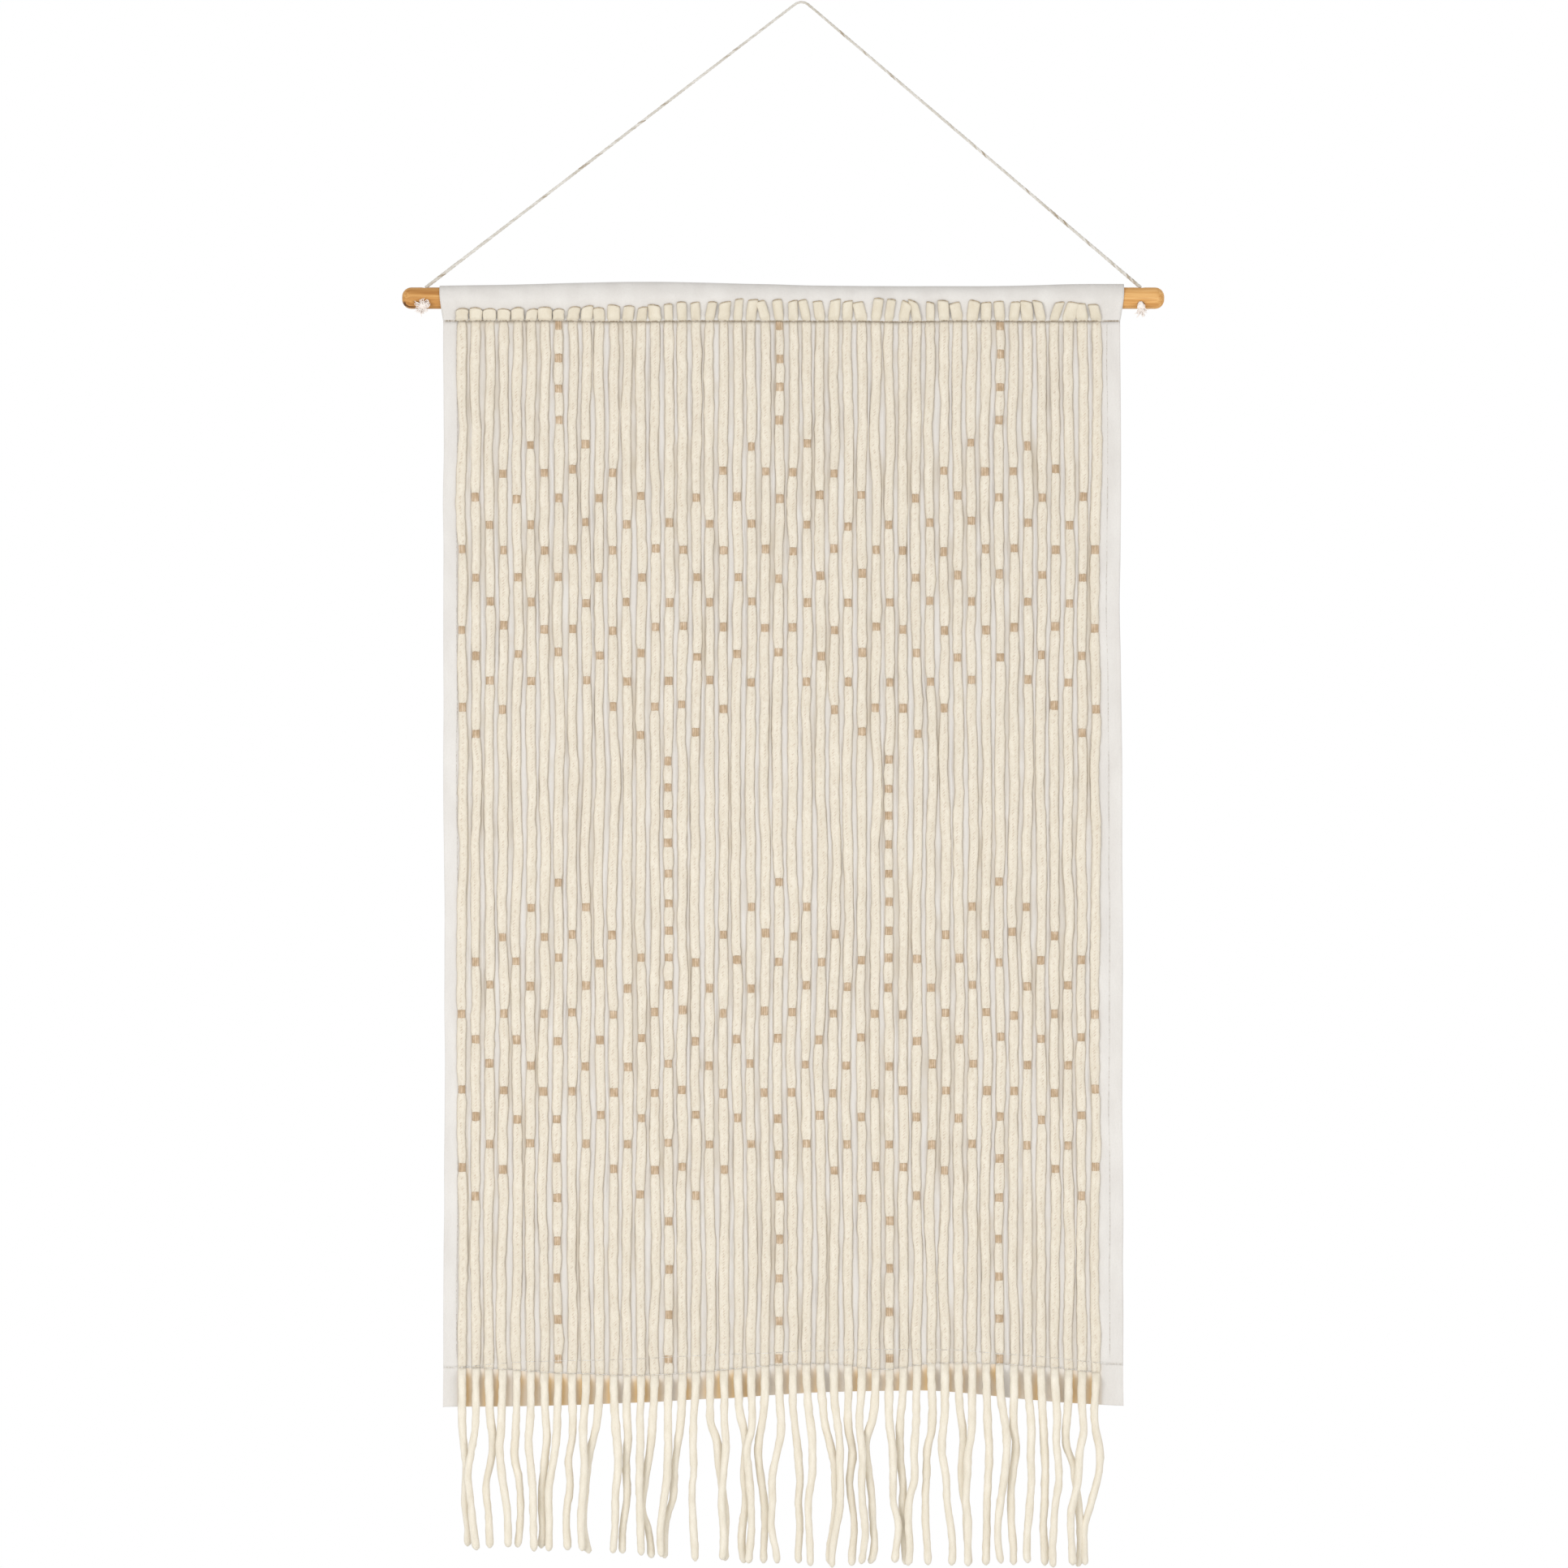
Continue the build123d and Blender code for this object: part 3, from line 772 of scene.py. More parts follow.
def cloth_edge_shift(x, z):
    """How far the cloth's side edges wander, in x. The top seam draws them in; the right one comes back."""
    below = np.clip((seam_z - z) / panel_length, 0, 1)
    above = np.clip((z - seam_z) / (26 * MM), 0, 1)
    pull = 3.2 * MM * np.where(z < seam_z, 1, (1 - above) ** 1.4)
    wave = waver(0.9, 150, z, seed=8) + waver(0.5, 45, z, seed=9)
    left = (wave + pull) * smoothstep(40 * MM, 0, x - cloth_left)
    wave = waver(0.9, 150, z, seed=18) + waver(0.5, 45, z, seed=19)
    right = (wave - pull * (1 - below) ** 1.2) * smoothstep(40 * MM, 0, cloth_right - x)
    return left + right


def pocket_slack(x):
    """How far the pocket's top stands above the dowel: the cloth arches gently between its ends."""
    along = (x - cloth_left) / (cloth_right - cloth_left)
    arch = 3.6 * MM * hump(along, 0.30, 0.16) - 0.6 * MM * hump(along, 0.74, 0.12)
    arch = arch + 1.3 * MM * smoothstep(0.80, 0.97, along)
    return 0.5 * MM + arch + waver(0.35, 38, x, seed=12)


def pocket_section(s, slack):
    """(y, z) on the pocket's outer face, with s from 0 at the front lip, over the top, to 1 at the back."""
    reach = dowel_z - seam_z + 0.5 * MM
    half_angle = math.asin(pocket_radius / reach)
    straight = reach * math.cos(half_angle)
    arc = pocket_radius * (math.pi + 2 * half_angle)
    total = 2 * straight + arc
    run = s * total
    sweep = np.clip((run - straight) / pocket_radius, 0, arc / pocket_radius)
    angle = math.pi + half_angle - sweep
    y = pocket_radius * np.cos(angle)
    z = dowel_z + pocket_radius * np.sin(angle)
    front_y, front_z = -pocket_radius * math.cos(half_angle), dowel_z - pocket_radius * math.sin(half_angle)
    before = np.clip(run / straight, 0, 1)
    after = np.clip((total - run) / straight, 0, 1)
    y = np.where(run < straight, -lip_y + (front_y + lip_y) * before, y)
    z = np.where(run < straight, seam_z + (front_z - seam_z) * before, z)
    y = np.where(run > total - straight, lip_y + (-front_y - lip_y) * after, y)
    z = np.where(run > total - straight, seam_z + (front_z - seam_z) * after, z)
    lift = np.clip((z - dowel_z) / pocket_radius, 0, 1) ** 2
    return y, z + slack * lift


def pocket_front(z):
    """y of the pocket's front face at a height, for the tabs that lean on it."""
    s = np.linspace(0, 0.5, 60)
    y_line, z_line = pocket_section(s, 0.0)
    return np.interp(z, z_line, y_line)


def seam_wobble(x):
    """The top seam's own waviness, in z."""
    return waver(0.7, 60, x, seed=31) + waver(0.25, 14, x, seed=32)


POCKET_COLUMNS = 260
POCKET_ROWS = 61
POCKET_LIE = 95  # millimetres of cloth round the pocket
POCKET_THICKNESS = 0.8 * MM


def build_pocket():
    x = np.linspace(cloth_left, cloth_right, POCKET_COLUMNS)
    grid_s, grid_x = np.meshgrid(np.linspace(0, 1, POCKET_ROWS), x, indexing="ij")
    y, z = pocket_section(grid_s, pocket_slack(grid_x))
    height = (z - seam_z) / (pocket_high.z - seam_z)
    soft = np.sin(math.pi * np.clip(height, 0, 1))
    ripple = waver(0.45, 22, grid_x, grid_s * 9, 14) * soft
    ripple += waver(0.25, 7, grid_x, grid_s * 14, 15) * np.clip(height * 4, 0, 1)
    y = y + np.sign(y) * ripple
    pull = (1 - np.clip(height, 0, 1)) ** 2
    z = z + seam_wobble(grid_x) * pull
    shift = cloth_edge_shift(grid_x, z)
    points = vectors(grid_x + shift, y, z)
    # Painted grey-beige shade on the pocket's front, just above the seam among the tabs.
    among_tabs = smoothstep(-3 * MM, 3 * MM, grid_x - yarn_x[0])
    among_tabs = among_tabs * smoothstep(-3 * MM, 3 * MM, yarn_x[-1] - grid_x)
    shade = 0.2 * among_tabs * smoothstep(13 * MM, 2 * MM, z - seam_z) * (grid_s < 0.5)
    lie = vectors((grid_x - cloth_left) / MM, grid_s * POCKET_LIE, -shade)
    piece = Piece()
    piece.grid(points, lie)
    made = piece.build("pocket_cloth", cloth)
    thicken(made, POCKET_THICKNESS, 1)
    return made


pocket = build_pocket()
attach(pocket, "sleeve")
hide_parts("rod_pocket")

# ---- the hem's rise ----
# The bottom hem isn't level. Its lower edge and its upper stitch row arch up, highest right of the middle,
# and its lower stitch row wanders between them and meets the upper one at the sides.
rise_x = 95 * MM


def flap_rise(x):
    """How far the hem's lower edge stands above its CAD height."""
    spread = np.where(x < rise_x, 215 * MM, 125 * MM)
    return (-5.2 + 15 * hump(x, rise_x, spread) + 0.6 * cells(35, x, seed=41)) * MM


def upper_row_rise(x):
    """How far the upper stitch row stands above the fringe's hinge line."""
    spread = np.where(x < rise_x, 235 * MM, 140 * MM)
    corners = 3.9 * hump(x, cloth_left, 48 * MM) + 2.6 * hump(x, cloth_right, 42 * MM)
    return (6.0 + 12.5 * hump(x, rise_x, spread) - corners + 0.5 * cells(35, x, seed=42)) * MM


def hem_rise(x):
    """How far the lower stitch row, where the fringe begins, stands above the fringe's hinge line."""
    spread = np.where(x < rise_x, 175 * MM, 155 * MM)
    wander = 10.8 * hump(x, rise_x, spread, 4) - 6.0 * hump(x, 72 * MM, 28 * MM)
    wander = wander + 0.6 * cells(30, x, seed=43)
    step = smoothstep(0.2 * yarn_half_width, 0.95 * yarn_half_width, x - yarn_x[-1])
    corners = 7.4 * hump(x, cloth_left, 95 * MM) + 8.0 * step
    return (-4.5 + wander + corners) * MM


# ---- yarn courses ----
wrap_reach = 3.7 * MM
WRAP_SCATTER = 3.0 * MM
BY_SEAM_SHARE = 0.2


def wraps_on(n):
    """Heights of the wraps on a yarn: those by the seams lie almost level, the others a little unevenly."""
    heights = []
    for number, z in wraps:
        if number == n:
            loose = BY_SEAM_SHARE if z < hem_z + 15 * MM or z > seam_z - 12 * MM else 1.0
            heights.append(z + loose * WRAP_SCATTER * float(noise(n * 3.7, z / MM * 0.37, seed=61)))
    return heights


wrap_heights = [wraps_on(n) for n in range(yarn_count)]


def near_wraps(n, z, reach):
    """From 0 to 1, how near heights z on a yarn are to one of its wraps."""
    near = np.zeros_like(z)
    for centre in wrap_heights[n]:
        near = np.maximum(near, hump(z, centre, reach))
    return near


def yarn_course(n, z):
    """x of a yarn's middle at heights z. Neighbours wander together; a wrap holds a yarn in its column."""
    shared = waver(1.2, 140, z, n * 0.25, 51)
    own = waver(1.5, 62, z, n * 1.7, 52) + waver(0.5, 23, z, n * 2.3, 53)
    own = own + waver(0.3, 9, z, n * 2.9, 54)
    ends = smoothstep(0, 25 * MM, seam_z - z) * smoothstep(0, 25 * MM, z - hem_z)
    return yarn_x[n] + (shared + own * (1 - 0.5 * near_wraps(n, z, 16 * MM))) * (0.35 + 0.65 * ends)


def yarn_size(n, z):
    """(half width, depth) of a yarn on the cloth at heights z."""
    uneven = 0.12 * cells(30, z, n * 1.3, 55) + 0.07 * cells(8, z, n, 56)
    width = yarn_half_width * (1.05 + uneven)
    depth = 2.65 * MM * (1 + 0.10 * cells(22, z, n * 1.9, 57))
    held = near_wraps(n, z, wrap_reach * 1.35)
    width = width * (1 - 0.31 * held)
    depth = depth * (1 - 0.12 * held)
    top_stitch = hump(z, seam_z, 3.2 * MM)
    upper_stitch = 0.55 * hump(z, hem_z + upper_row_rise(yarn_x[n]), 2.2 * MM)
    lower_stitch = 0.8 * hump(z, hem_z + hem_rise(yarn_x[n]), 2.6 * MM)
    pressed = np.clip(top_stitch + upper_stitch + lower_stitch, 0, 1)
    return width * (1 - 0.10 * pressed), depth * (1 - 0.68 * pressed)


front_angles = np.linspace(0, math.pi, 11)
back_angles = np.linspace(math.pi, 2 * math.pi, 5)[1:-1]
ring_angles = np.concatenate([front_angles, back_angles])
YARN_BACK_Y = -0.35 * MM
YARN_ROWS = 300
YARN_SQUARENESS = 0.72  # 1 is an ellipse, and less is squarer


def yarn_ring(half_width, depth, angles):
    """(x, y) round a yarn: a full, slightly square front, and a flat back on the cloth."""
    cosine = np.cos(angles)
    sine = np.sin(angles)
    x = half_width * np.sign(cosine) * abs(cosine) ** YARN_SQUARENESS
    y = np.where(sine > 0, -depth * np.clip(sine, 0, 1) ** YARN_SQUARENESS, -0.02 * depth * sine)
    return x, y + YARN_BACK_Y


def build_yarn(n):
    bottom = hem_z + hem_rise(yarn_x[n])
    z = np.linspace(seam_z + seam_wobble(yarn_x[n]), bottom, YARN_ROWS)
    half_width, depth = yarn_size(n, z)
    x, y = yarn_ring(half_width[:, None], depth[:, None], ring_angles)
    around = ring_angles * YARN_LIE
    lumps = waver(0.26, 4, z[:, None], around / 3 + n * 7, 58)
    lumps = lumps + waver(0.16, 1.7, z[:, None], around / 1.6 + n * 9, 59)
    scale = 1 + lumps / (4 * MM)
    points = vectors(yarn_course(n, z)[:, None] + x * scale, y * scale, z[:, None])
    lie = vectors(around, -z[:, None] / MM, n)
    piece = Piece()
    piece.grid(points, lie, closed=True, caps=True)
    return piece.build("wool_" + yarn_names[n], wool)


for n in range(yarn_count):
    yarn = build_yarn(n)
    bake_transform(yarn)
    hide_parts(yarn_names[n])

# ---- tabs ----
TAB_RINGS = 24
CROWN_RINGS = 8
TAB_CROWN = 0.86  # where the rounded top starts, as a share of the height
TAB_NUMBERS = 60  # added to the tabs' numbers, so that no tab looks like its yarn


def build_tabs():
    """The flat yarn ends above the top seam: squat and wide at the left, taller and leaning to the right."""
    random = np.random.default_rng(71)
    piece = Piece()
    edges = Piece()
    for n in range(yarn_count):
        across = n / (yarn_count - 1)
        grown = smoothstep(0.08, 0.42, across)
        height = (10.6 + 6.4 * grown + random.normal(0, 0.9 + 0.4 * grown)) * MM
        lean = random.normal(0.2, 0.8 + 2.0 * grown) * MM
        wide = (5.7 - 1.0 * grown + random.normal(0, 0.5)) * MM
        slant = random.normal(0.3, 0.6 + 0.6 * grown) * MM
        bulge = (1.5 - 1.0 * grown) * MM
        side_rings = np.linspace(0, TAB_CROWN, TAB_RINGS - CROWN_RINGS, endpoint=False)
        crown_rings = 1 - (1 - TAB_CROWN) * np.linspace(1, 0, CROWN_RINGS) ** 1.7
        s = np.concatenate([side_rings, crown_rings])
        z = seam_z + seam_wobble(yarn_x[n]) + s * height
        crown = np.clip((s - TAB_CROWN) / (1 - TAB_CROWN), 0, 1)
        rounding = np.sqrt(np.clip(1 - crown**2.6, 0.012, 1))
        foot = smoothstep(0, 0.26, s)
        half = wide * (0.86 + 0.14 * foot) * (0.80 + 0.20 * rounding)
        depth = (0.5 * MM * (1 - foot) + 3.1 * MM * foot) * rounding
        half = half * (1 + 0.05 * noise(s * 4, n, seed=73))
        middle_x = float(yarn_course(n, np.array([seam_z]))[0]) + lean * s**1.4
        rest_y = np.minimum(pocket_front(z), -0.9 * MM) + 0.15 * MM
        x, y = yarn_ring(half[:, None], depth[:, None], ring_angles)
        off = x / wide
        top_line = (slant * off - bulge * off**2) * foot[:, None]
        puffs = waver(0.18, 5, s[:, None] * height, off * 1.5 + n * 5, 74) * rounding[:, None]
        points = vectors(middle_x[:, None] + x, rest_y[:, None] + y - puffs, z[:, None] + top_line)
        lie = vectors(ring_angles * YARN_LIE, s[:, None] * height / MM, n + TAB_NUMBERS)
        piece.grid(points, lie, closed=True, caps=True)
        # A thin dark line along the tab's top, against the pocket: painted shadow where the tab meets the
        # pocket cloth.
        off = np.linspace(-0.86, 0.86, 13)
        rim_z = z[-1] + slant * off - bulge * off**2 - 0.5 * MM * abs(off) ** 5 + 0.12 * MM
        rim = vectors(middle_x[-1] + wide * off, pocket_front(rim_z) - 0.9 * MM, rim_z)
        thickness = 0.45 * MM * (1 + 0.45 * noise(off * 3, n * 3.3, seed=75))
        tube(edges, rim, thickness, 6, n)
    return piece.build("wool_tabs", wool_tab), edges.build("tab_edges", tab_edge)


tabs, tab_edges = build_tabs()
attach(tabs, "sleeve")
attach(tab_edges, "sleeve")
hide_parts("yarn_tabs")

# ---- ground cloth of the panel ----
hem_width = 14 * MM
gap_samples = 9
under_samples = 4
PANEL_ROWS = 240
PANEL_THICKNESS = 0.6 * MM


def panel_columns():
    """x of the panel's columns of points: close together between the yarns, and wider apart behind them."""
    xs = [np.linspace(cloth_left + lip_y, yarn_x[0] - yarn_half_width, 16)]
    for n in range(yarn_count):
        under = yarn_half_width * 0.8
        xs.append(np.linspace(yarn_x[n] - under, yarn_x[n] + under, under_samples))
        if n < yarn_count - 1:
            gap = (yarn_x[n] + yarn_half_width * 0.92, yarn_x[n + 1] - yarn_half_width * 0.92)
            xs.append(np.linspace(*gap, gap_samples))
    xs.append(np.linspace(yarn_x[-1] + yarn_half_width, cloth_right - lip_y, 16))
    return np.concatenate(xs)


def gap_shares(x):
    """For each column of points, the yarn to its left and how far across the gap it is, from 0 to 1."""
    left = np.clip(np.floor((x - yarn_x[0]) / yarn_pitch).astype(int), 0, yarn_count - 2)
    off = x - yarn_x[left]
    share = np.clip((off - yarn_half_width * 0.9) / (yarn_pitch - yarn_half_width * 1.8), 0, 1)
    return left, share


def pucker(x, z):
    """How far the cloth stands forward: between each two yarns a soft upright ridge comes and goes."""
    forward = waver(0.25, 9, x, z / (26 * MM), 81)
    for n in range(yarn_count - 1):
        near = np.where(abs(x[0] - (yarn_x[n] + yarn_pitch / 2)) < yarn_pitch / 2)[0]
        zs = z[:, near]
        middle = (yarn_x[n] + yarn_x[n + 1]) / 2 + waver(0.8, 40, zs, n * 1.9, 83)
        height = 0.9 + 1.2 * cells(60, zs, n * 2.7, 84) + 0.8 * cells(13, zs, n * 1.3, 85)
        width = (1.2 + 0.35 * cells(30, zs, n * 3.1, 86)) * MM
        forward[:, near] += np.clip(height, 0, 2.6) * MM * hump(x[:, near], middle, width)
    return forward


def build_panel():
    """The panel's cloth, with each side edge folded round to the back for its hem."""
    x = panel_columns()
    grid_t, grid_x = np.meshgrid(np.linspace(0, 1, PANEL_ROWS), x, indexing="ij")
    top = seam_z + seam_wobble(grid_x)
    bottom = hem_z + hem_rise(grid_x)
    z = top + (bottom - top) * grid_t
    ends = smoothstep(0, 0.006, grid_t) * smoothstep(0, 0.004, 1 - grid_t)
    ridges = pucker(grid_x, z) * ends
    y = -lip_y * 0.6 - ridges
    inside = (grid_x > yarn_x[0] - yarn_half_width) & (grid_x < yarn_x[-1] + yarn_half_width)
    beyond = np.maximum(yarn_x[0] - grid_x, grid_x - yarn_x[-1]) - yarn_half_width
    margin_y = -lip_y * (0.6 + 0.4 * smoothstep(1.5 * MM, 6 * MM, beyond))
    y = np.where(inside, y, margin_y - waver(0.25, 12, grid_x, z / (30 * MM), 88) * ends)
    back_y = y + PANEL_THICKNESS + 0.7 * np.where(inside, np.clip(ridges, 0, None), 0)
    middle_z = z[:, len(x) // 2]
    drift = np.transpose([yarn_course(n, middle_z) - yarn_x[n] for n in range(yarn_count)])
    left_yarn, share = gap_shares(x)
    follow = drift[:, left_yarn] * (1 - share) + drift[:, left_yarn + 1] * share
    follow *= smoothstep(0, 16 * MM, x - cloth_left) * smoothstep(0, 16 * MM, cloth_right - x)
    shifted = grid_x + follow + cloth_edge_shift(grid_x, z)
    front = vectors(shifted, y, z)
    back = vectors(shifted, back_y, z)
    # Painted grey-beige shade in the gaps between the yarns: it changes slowly from gap to gap, is darker
    # where a gap narrows, deepest beside the yarns and just below the top seam, and stays off the margins.
    narrowing = (drift[:, left_yarn] - drift[:, left_yarn + 1]) / MM
    shade = 0.20 + 0.08 * narrowing + 0.48 * cells(75, z, left_yarn[None, :] * 2.3, 89)
    shade = shade + 0.20 * cells(4, grid_x, z / (14 * MM), 90)
    beside_yarn = 1 - smoothstep(0.05, 0.34, np.minimum(share, 1 - share))
    shade = np.maximum(shade, (0.5 + 0.35 * cells(3, grid_x, z / (30 * MM), 87)) * beside_yarn)
    shade = np.maximum(shade, 0.75 * smoothstep(5 * MM, 0, seam_z - z))
    shade = -np.clip(shade, 0.1, 0.85) * inside
    lie_front = vectors((grid_x - cloth_left) / MM, (seam_z - z) / MM, shade)

    def hem(edge, sign):
        """The rows' points from the edge round to the back and inwards."""
        turn = np.linspace(0.35, 1, 4) * math.pi
        steps = np.concatenate([lip_y * np.sin(turn), -np.linspace(0.08, 1, 8) * hem_width])
        depths = np.concatenate([-lip_y * np.cos(turn), np.full(7, lip_y), [lip_y * -0.3]])
        points = front[:, [edge]] + np.zeros((1, len(steps), 3))
        points[..., 0] += sign * steps
        points[..., 1] = depths
        lie = lie_front[:, [edge]] + np.zeros((1, len(steps), 3))
        lie[..., 0] += sign * np.cumsum(abs(np.gradient(steps))) / MM
        return points, lie

    left_points, left_lie = hem(0, -1)
    right_points, right_lie = hem(-1, 1)
    points = np.concatenate([left_points[:, ::-1], front, right_points], axis=1)
    lie = np.concatenate([left_lie[:, ::-1], lie_front, right_lie], axis=1)
    stay = np.full(left_points.shape, np.nan)
    piece = Piece()
    piece.grid(points, lie)
    made = piece.build("panel_cloth", cloth)
    thicken(made, PANEL_THICKNESS, -1, np.concatenate([stay, back, stay], axis=1))
    return made


panel = build_panel()
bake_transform(panel)
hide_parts("backing_cloth", "side_hems")

# ---- hem flap ----
FLAP_COLUMNS = 330
BACK_LIE = 40  # sets the back's weave apart from the front's


def build_flap():
    """Below the lower stitch row: down the front, round the bottom fold and up the back."""
    x = np.linspace(cloth_left, cloth_right, FLAP_COLUMNS)
    drop = hem_z - flap_bottom_z
    front = np.linspace(0, 1, 14)
    turn = np.linspace(0, math.pi, 7)[1:-1]
    back = np.linspace(1, -0.28, 15)
    run = np.concatenate([front, np.ones_like(turn), back])
    fold = np.concatenate([front * 0, np.sin(turn), back * 0])
    side = np.concatenate([-np.ones_like(front), -np.cos(turn), np.ones_like(back)])[:, None]
    grid_run, grid_x = np.meshgrid(run, x, indexing="ij")
    radius = 1.0 * MM
    rise = hem_rise(grid_x) * (1 - grid_run) + flap_rise(grid_x) * grid_run
    z = hem_z + rise - grid_run * (drop - radius) - fold[:, None] * radius
    swell = smoothstep(0, 0.25, grid_run) * 0.6 + 0.4
    wave = waver(0.8, 42, grid_x, grid_run * 1.2, 91) * np.clip(grid_run, 0, 1)
    off = abs(grid_x - cloth_middle) / (cloth_right - cloth_left) * 2
    ends = np.sqrt(np.clip(1 - off**160, 0, 1))
    y = side * radius * swell * ends + wave
    points = vectors(grid_x + cloth_edge_shift(grid_x, z), y, z)
    # Painted golden shadow on the flap's front between the strands: one level for each gap, stronger on one
    # side of it, fainter just under the stitch row; the back gets none.
    pitches = (grid_x - yarn_x[0]) / yarn_pitch
    gap = np.floor(pitches)
    across_gap = np.where(noise(gap * 2.7, seed=94) > 0, pitches - gap, 1 - (pitches - gap))
    level = np.clip(0.72 + 1.1 * noise(gap * 1.9, seed=93), 0, 1)
    shade = level * (1 - 0.45 * smoothstep(0.3, 0.7, across_gap))
    for inwards in (pitches, (yarn_x[-1] - grid_x) / yarn_pitch):
        shade = shade * smoothstep(-0.55, -0.25, inwards)
    shade = shade * (0.45 + 0.55 * smoothstep(0.02, 0.3, grid_run))
    shade = shade * (0.9 + 0.4 * cells(26, grid_x, grid_run * 1.5, 92))
    shade = np.clip(shade, 0, 0.95) * (side < 0)
    lie = vectors((grid_x - cloth_left) / MM, grid_run * drop / MM + BACK_LIE * (side > 0), shade)
    piece = Piece()
    piece.grid(points, lie)
    return piece.build("flap_cloth", cloth)


flap = build_flap()
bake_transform(flap)
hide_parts("hem_flap")

# ---- accent wraps ----
RIB_SAMPLES = 5


def build_wraps():
    """Bands of tan thread round the front of a yarn: the threads run with the yarn, side by side."""
    piece = Piece()
    angles = np.linspace(0.02, math.pi - 0.02, RIBS * RIB_SAMPLES + 1)
    number = 0
    for n in range(yarn_count):
        for centre in wrap_heights[n]:
            number += 1
            tall = wrap_reach * (1.0 + 0.10 * float(noise(number * 1.7, seed=95)))
            t = np.array([-1.0, -0.93, -0.6, 0, 0.6, 0.93, 1.0])
            lift = np.array([0.0, 0.28, 0.42, 0.46, 0.42, 0.28, 0.0]) * MM
            z = centre + t * tall
            half_width, depth = yarn_size(n, z)
            half_width = half_width.min() * (1 + 0.05 * t * t)
            ribs = 0.14 * MM * abs(np.sin(angles * RIBS)) ** 0.7 * (lift > 0.1 * MM)[:, None]
            out = (lift[:, None] + ribs) * (0.45 + 0.55 * np.sin(angles)) + 0.10 * MM
            x, y = yarn_ring(half_width[:, None] + out, depth[:, None] + out, angles)
            ragged = 0.25 * MM * noise(angles * 3.1, number, seed=96) * np.sign(t)[:, None]
            points = vectors(yarn_course(n, z)[:, None] + x, y, z[:, None] + ragged)
            piece.grid(points, vectors(angles * ACCENT_LIE, t[:, None] * tall / MM, number))
    return piece.build("accent_threads", accent)


accents = build_wraps()
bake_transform(accents)
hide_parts("accent_wraps")

# ---- stitches ----
STITCH = 2.9 * MM
THREAD_RADIUS = 0.3 * MM


def stitch_row(piece, along, surface, stitch=STITCH, radius=THREAD_RADIUS, seed=0):
    """Adds a row of stitches. surface(u, lift) gives points at distances u, lifted off the cloth."""
    steps = stitch * np.array([0.06, 0.16, 0.35, 0.55, 0.75, 0.9, 0.98])
    lift = np.array([-0.5, 0.15, 0.6, 0.75, 0.6, 0.15, -0.5]) * radius * 1.6
    for number, start in enumerate(np.arange(along[0], along[1], stitch)):
        tube(piece, surface(start + steps, lift), radius, 6, number + seed)


def over_yarns(x, squeeze):
    """How far the pressed yarns stand in front of the cloth along a stitch row."""
    nearest = np.clip(np.round((x - yarn_x[0]) / yarn_pitch), 0, yarn_count - 1).astype(int)
    off = abs(x - yarn_x[nearest]) / (yarn_half_width * 0.9)
    return squeeze * np.sqrt(np.clip(1 - off**2.4, 0, 1))


def level_row(side, base_z, rise, lip, squeeze):
    """A row across the cloth at base_z + rise(x), on its front if side is -1 and its back if it is 1."""

    def surface(x, lift):
        z = base_z + rise(x)
        y = side * (lip + lift)
        if side < 0:
            y = y - over_yarns(x, squeeze)
        return vectors(x + cloth_edge_shift(x, z), y, z)

    return surface


def side_row(edge, inwards, side):
    """A row down a side hem."""

    def surface(u, lift):
        x = edge + inwards + waver(0.3, 30, u, seed=99)
        x = x + cloth_edge_shift(np.full_like(u, edge), u)
        return vectors(x, side * (lip_y * 1.15 + lift), u)

    return surface


edge_margin = 1.5 * MM
full_width = (cloth_left + edge_margin, cloth_right - edge_margin)
lower_width = (cloth_left + edge_margin, yarn_x[-1] - STITCH / 2)
top_row_z = seam_z + 0.25 * MM
hem_row_z = hem_z + 0.6 * MM
top_piece = Piece()
for side in (-1, 1):
    top_row = level_row(side, top_row_z, seam_wobble, lip_y, 0.9 * MM)
    stitch_row(top_piece, full_width, top_row, radius=0.42 * MM, seed=100 * side)
top_stitches = top_piece.build("top_stitches", brown_thread)
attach(top_stitches, "sleeve")
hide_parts("top_seam")

hem_piece = Piece()
for side in (-1, 1):
    upper_row = level_row(side, hem_row_z, upper_row_rise, lip_y * 0.7, 1.7 * MM)
    lower_row = level_row(side, hem_row_z, hem_rise, lip_y * 0.7, 1.0 * MM)
    stitch_row(hem_piece, full_width, upper_row, seed=100 * side)
    stitch_row(hem_piece, lower_width, lower_row, seed=150 * side)
hem_stitches = hem_piece.build("hem_stitches", white_thread)
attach(hem_stitches, "panel")
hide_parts("bottom_seam")

side_height = (hem_z + 12 * MM, seam_z - 2 * MM)
side_piece = Piece()
for edge, inwards in ((cloth_left, hem_width - 2 * MM), (cloth_right, 2 * MM - hem_width)):
    for side in (-1, 1):
        row = side_row(edge, inwards, side)
        stitch_row(side_piece, side_height, row, stitch=2.4 * MM, radius=0.17 * MM, seed=200)
side_stitches = side_piece.build("side_stitches", white_thread)
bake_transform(side_stitches)

# ---- fringe ----
STRAND_STEP = 2.6 * MM
STRAND_SIDES = 14
SHORTEST_STRAND = 157
STRAND_GROWTH = 15  # how much longer the right ones are
STRAND_NUMBERS = 120  # added to the strands' numbers, so that no strand looks like its yarn


def strand_end(n):
    """z of a strand's tip: the strands get longer to the right, and each is a little different."""
    across = n / (yarn_count - 1)
    uneven = 3.0 * MM * float(noise(n * 1.37, seed=103))
    return hem_z - (SHORTEST_STRAND + STRAND_GROWTH * smoothstep(0, 0.6, across)) * MM + uneven


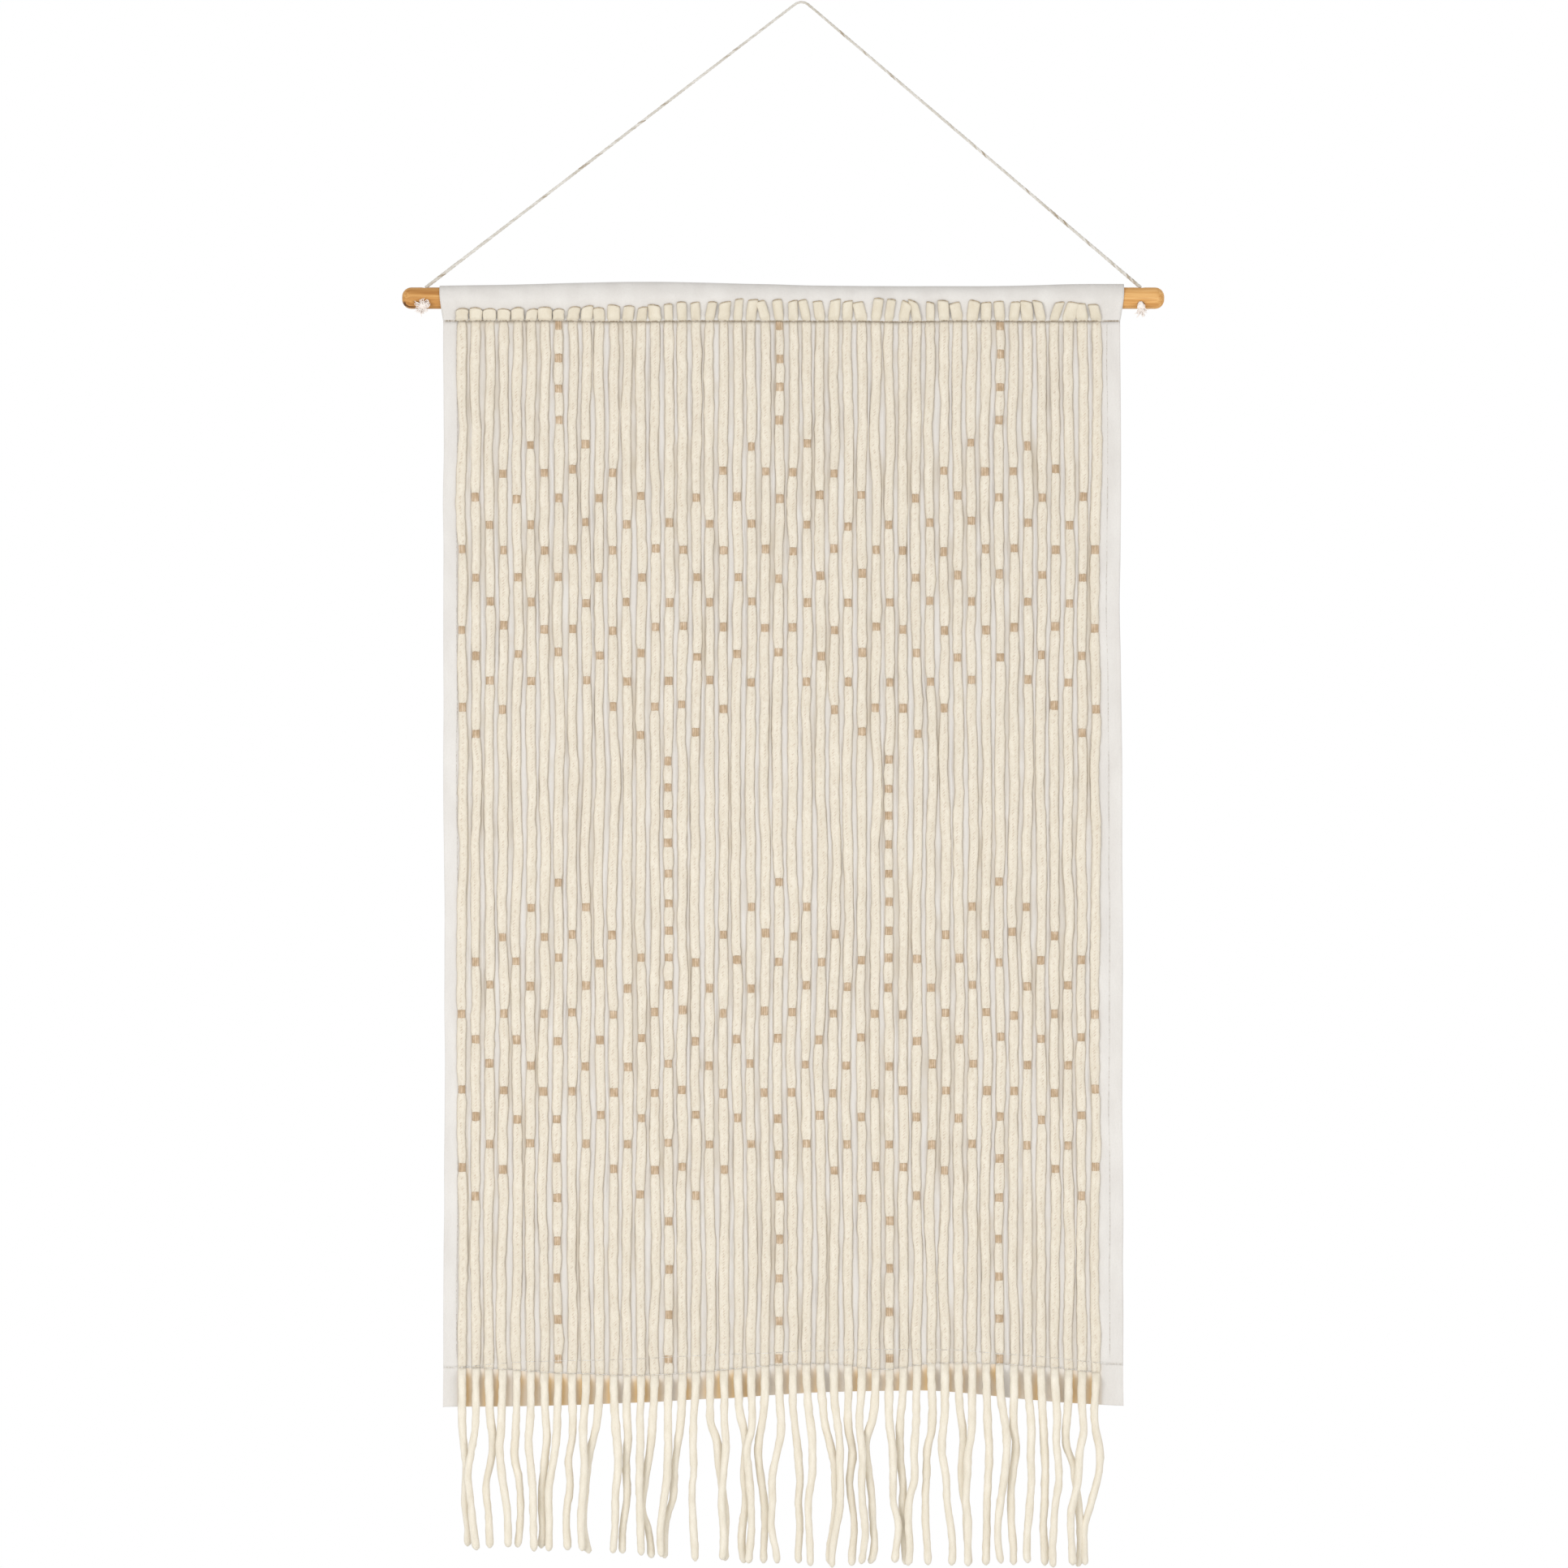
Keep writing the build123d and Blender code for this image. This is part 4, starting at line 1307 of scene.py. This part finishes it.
def build_fringe():
    """The yarns' free ends. Every other one hangs a little further back, so that neighbours can cross."""
    random = np.random.default_rng(107)
    piece = Piece()
    drift = 0.0
    for n in range(yarn_count):
        top = hem_z + hem_rise(yarn_x[n])
        bottom = strand_end(n)
        z = np.append(np.arange(top, bottom, -STRAND_STEP), bottom)
        down = top - z
        fall = smoothstep(0, 70 * MM, down)
        drift = 0.45 * drift + random.normal(0, 3.8) * MM
        long_size = random.uniform(0.8, 4.2) * MM
        long_length = random.uniform(130, 240) * MM
        short_size = random.uniform(0.2, 1.2) * MM
        short_length = random.uniform(55, 90) * MM
        phase = random.uniform(0, 2 * math.pi)
        sway = long_size * (np.sin(down / long_length * 2 * math.pi + phase) - math.sin(phase))
        sway = sway + short_size * np.sin(down / short_length * 2 * math.pi + phase * 2.3)
        sway = sway + waver(0.9, 22, down, n * 3.3, 105)
        kink_place = random.uniform(50, 130) * MM
        kink = random.normal(0, 1.6) * MM * np.tanh((down - kink_place) / (9 * MM))
        kink = kink - kink[0]
        course = float(yarn_course(n, np.array([hem_z]))[0]) + (sway + kink) * fall
        course = course + drift * smoothstep(0, 150 * MM, down)
        set_back = (-2.5 if n % 2 else 5.0) * MM * smoothstep(26 * MM, 75 * MM, down)
        forward = strand_y + set_back + waver(0.8, 45, down, n * 2.1, 106) * fall
        root = smoothstep(0, 9 * MM, down)
        middle_y = (-0.95 * MM) * (1 - root) + forward * root
        uneven = 0.08 * cells(20, down, n * 4.1, 108) + 0.07 * cells(6, down, n, 109)
        size = strand_radius * (1.07 - 0.09 * smoothstep(20 * MM, 150 * MM, down) + uneven)
        tip = np.clip((down[-1] - down) / (strand_radius * 1.3), 0, 1)
        size = size * np.sqrt(np.clip(1 - (1 - tip) ** 2, 0.05, 1))
        half = yarn_half_width * 0.9 * (1 - root) + size * root
        depth = 0.85 * MM * (1 - root) + size * root
        angle = np.arange(STRAND_SIDES) * 2 * math.pi / STRAND_SIDES
        around = angle * YARN_LIE
        lumps = 1 + 0.08 * cells(4, down[:, None], around / 3 + n * 7, 110)
        x = course[:, None] + half[:, None] * np.cos(angle) * lumps
        y = middle_y[:, None] - depth[:, None] * np.sin(angle) * lumps
        lie = vectors(around, down[:, None] / MM, n + STRAND_NUMBERS)
        piece.grid(vectors(x, y, z[:, None]), lie, closed=True, caps=True)
    return piece.build("fringe_strands", wool_strand)


fringe = build_fringe()
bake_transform(fringe)
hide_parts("fringe")

# ---- floor and light ----
floor_mesh = bpy.data.meshes.new("floor")
floor_half = 1.4
floor_z = cad_low.z - 160 * MM
corners = [(floor_half * x, floor_half * y, floor_z) for x, y in ((-1, -1), (1, -1), (1, 1), (-1, 1))]
floor_mesh.from_pydata(corners, [], [(0, 1, 2, 3)])
floor_mesh.materials.append(floor_material())
floor = add_object("floor", floor_mesh)


def area_light(name, place, target, size, power):
    data = bpy.data.lights.new(name, "AREA")
    data.size = size
    data.energy = power
    light = add_object(name, data)
    light.location = place
    aim = Vector(target) - Vector(place)
    light.rotation_euler = aim.to_track_quat("-Z", "Y").to_euler()


hanging_middle = (picture_centre[0], 0, picture_centre[1])
area_light("key", (-2.4, -3.2, -0.9), hanging_middle, 1.6, 52)
area_light("fill", (2.8, -3.2, -1.2), hanging_middle, 2.0, 32)
area_light("low", (0.2, -2.3, -1.45), (picture_centre[0], 0, -1.2), 1.0, 6.5)
area_light("behind", (1.5, 3.2, 0.3), hanging_middle, 2.0, 40)

world = bpy.data.worlds.new("world")
bpy.context.scene.world = world
world.use_nodes = True
tree = world.node_tree
lit = tree.nodes["Background"]
seen = tree.nodes.new("ShaderNodeBackground")
for background, strength in ((lit, 0.72), (seen, 1.0)):
    background.inputs["Color"].default_value = (1, 1, 1, 1)
    background.inputs["Strength"].default_value = strength
rays = tree.nodes.new("ShaderNodeLightPath")
chosen = tree.nodes.new("ShaderNodeMixShader")
tree.links.new(rays.outputs["Is Camera Ray"], chosen.inputs["Fac"])
tree.links.new(lit.outputs["Background"], chosen.inputs[1])
tree.links.new(seen.outputs["Background"], chosen.inputs[2])
tree.links.new(chosen.outputs["Shader"], tree.nodes["World Output"].inputs["Surface"])
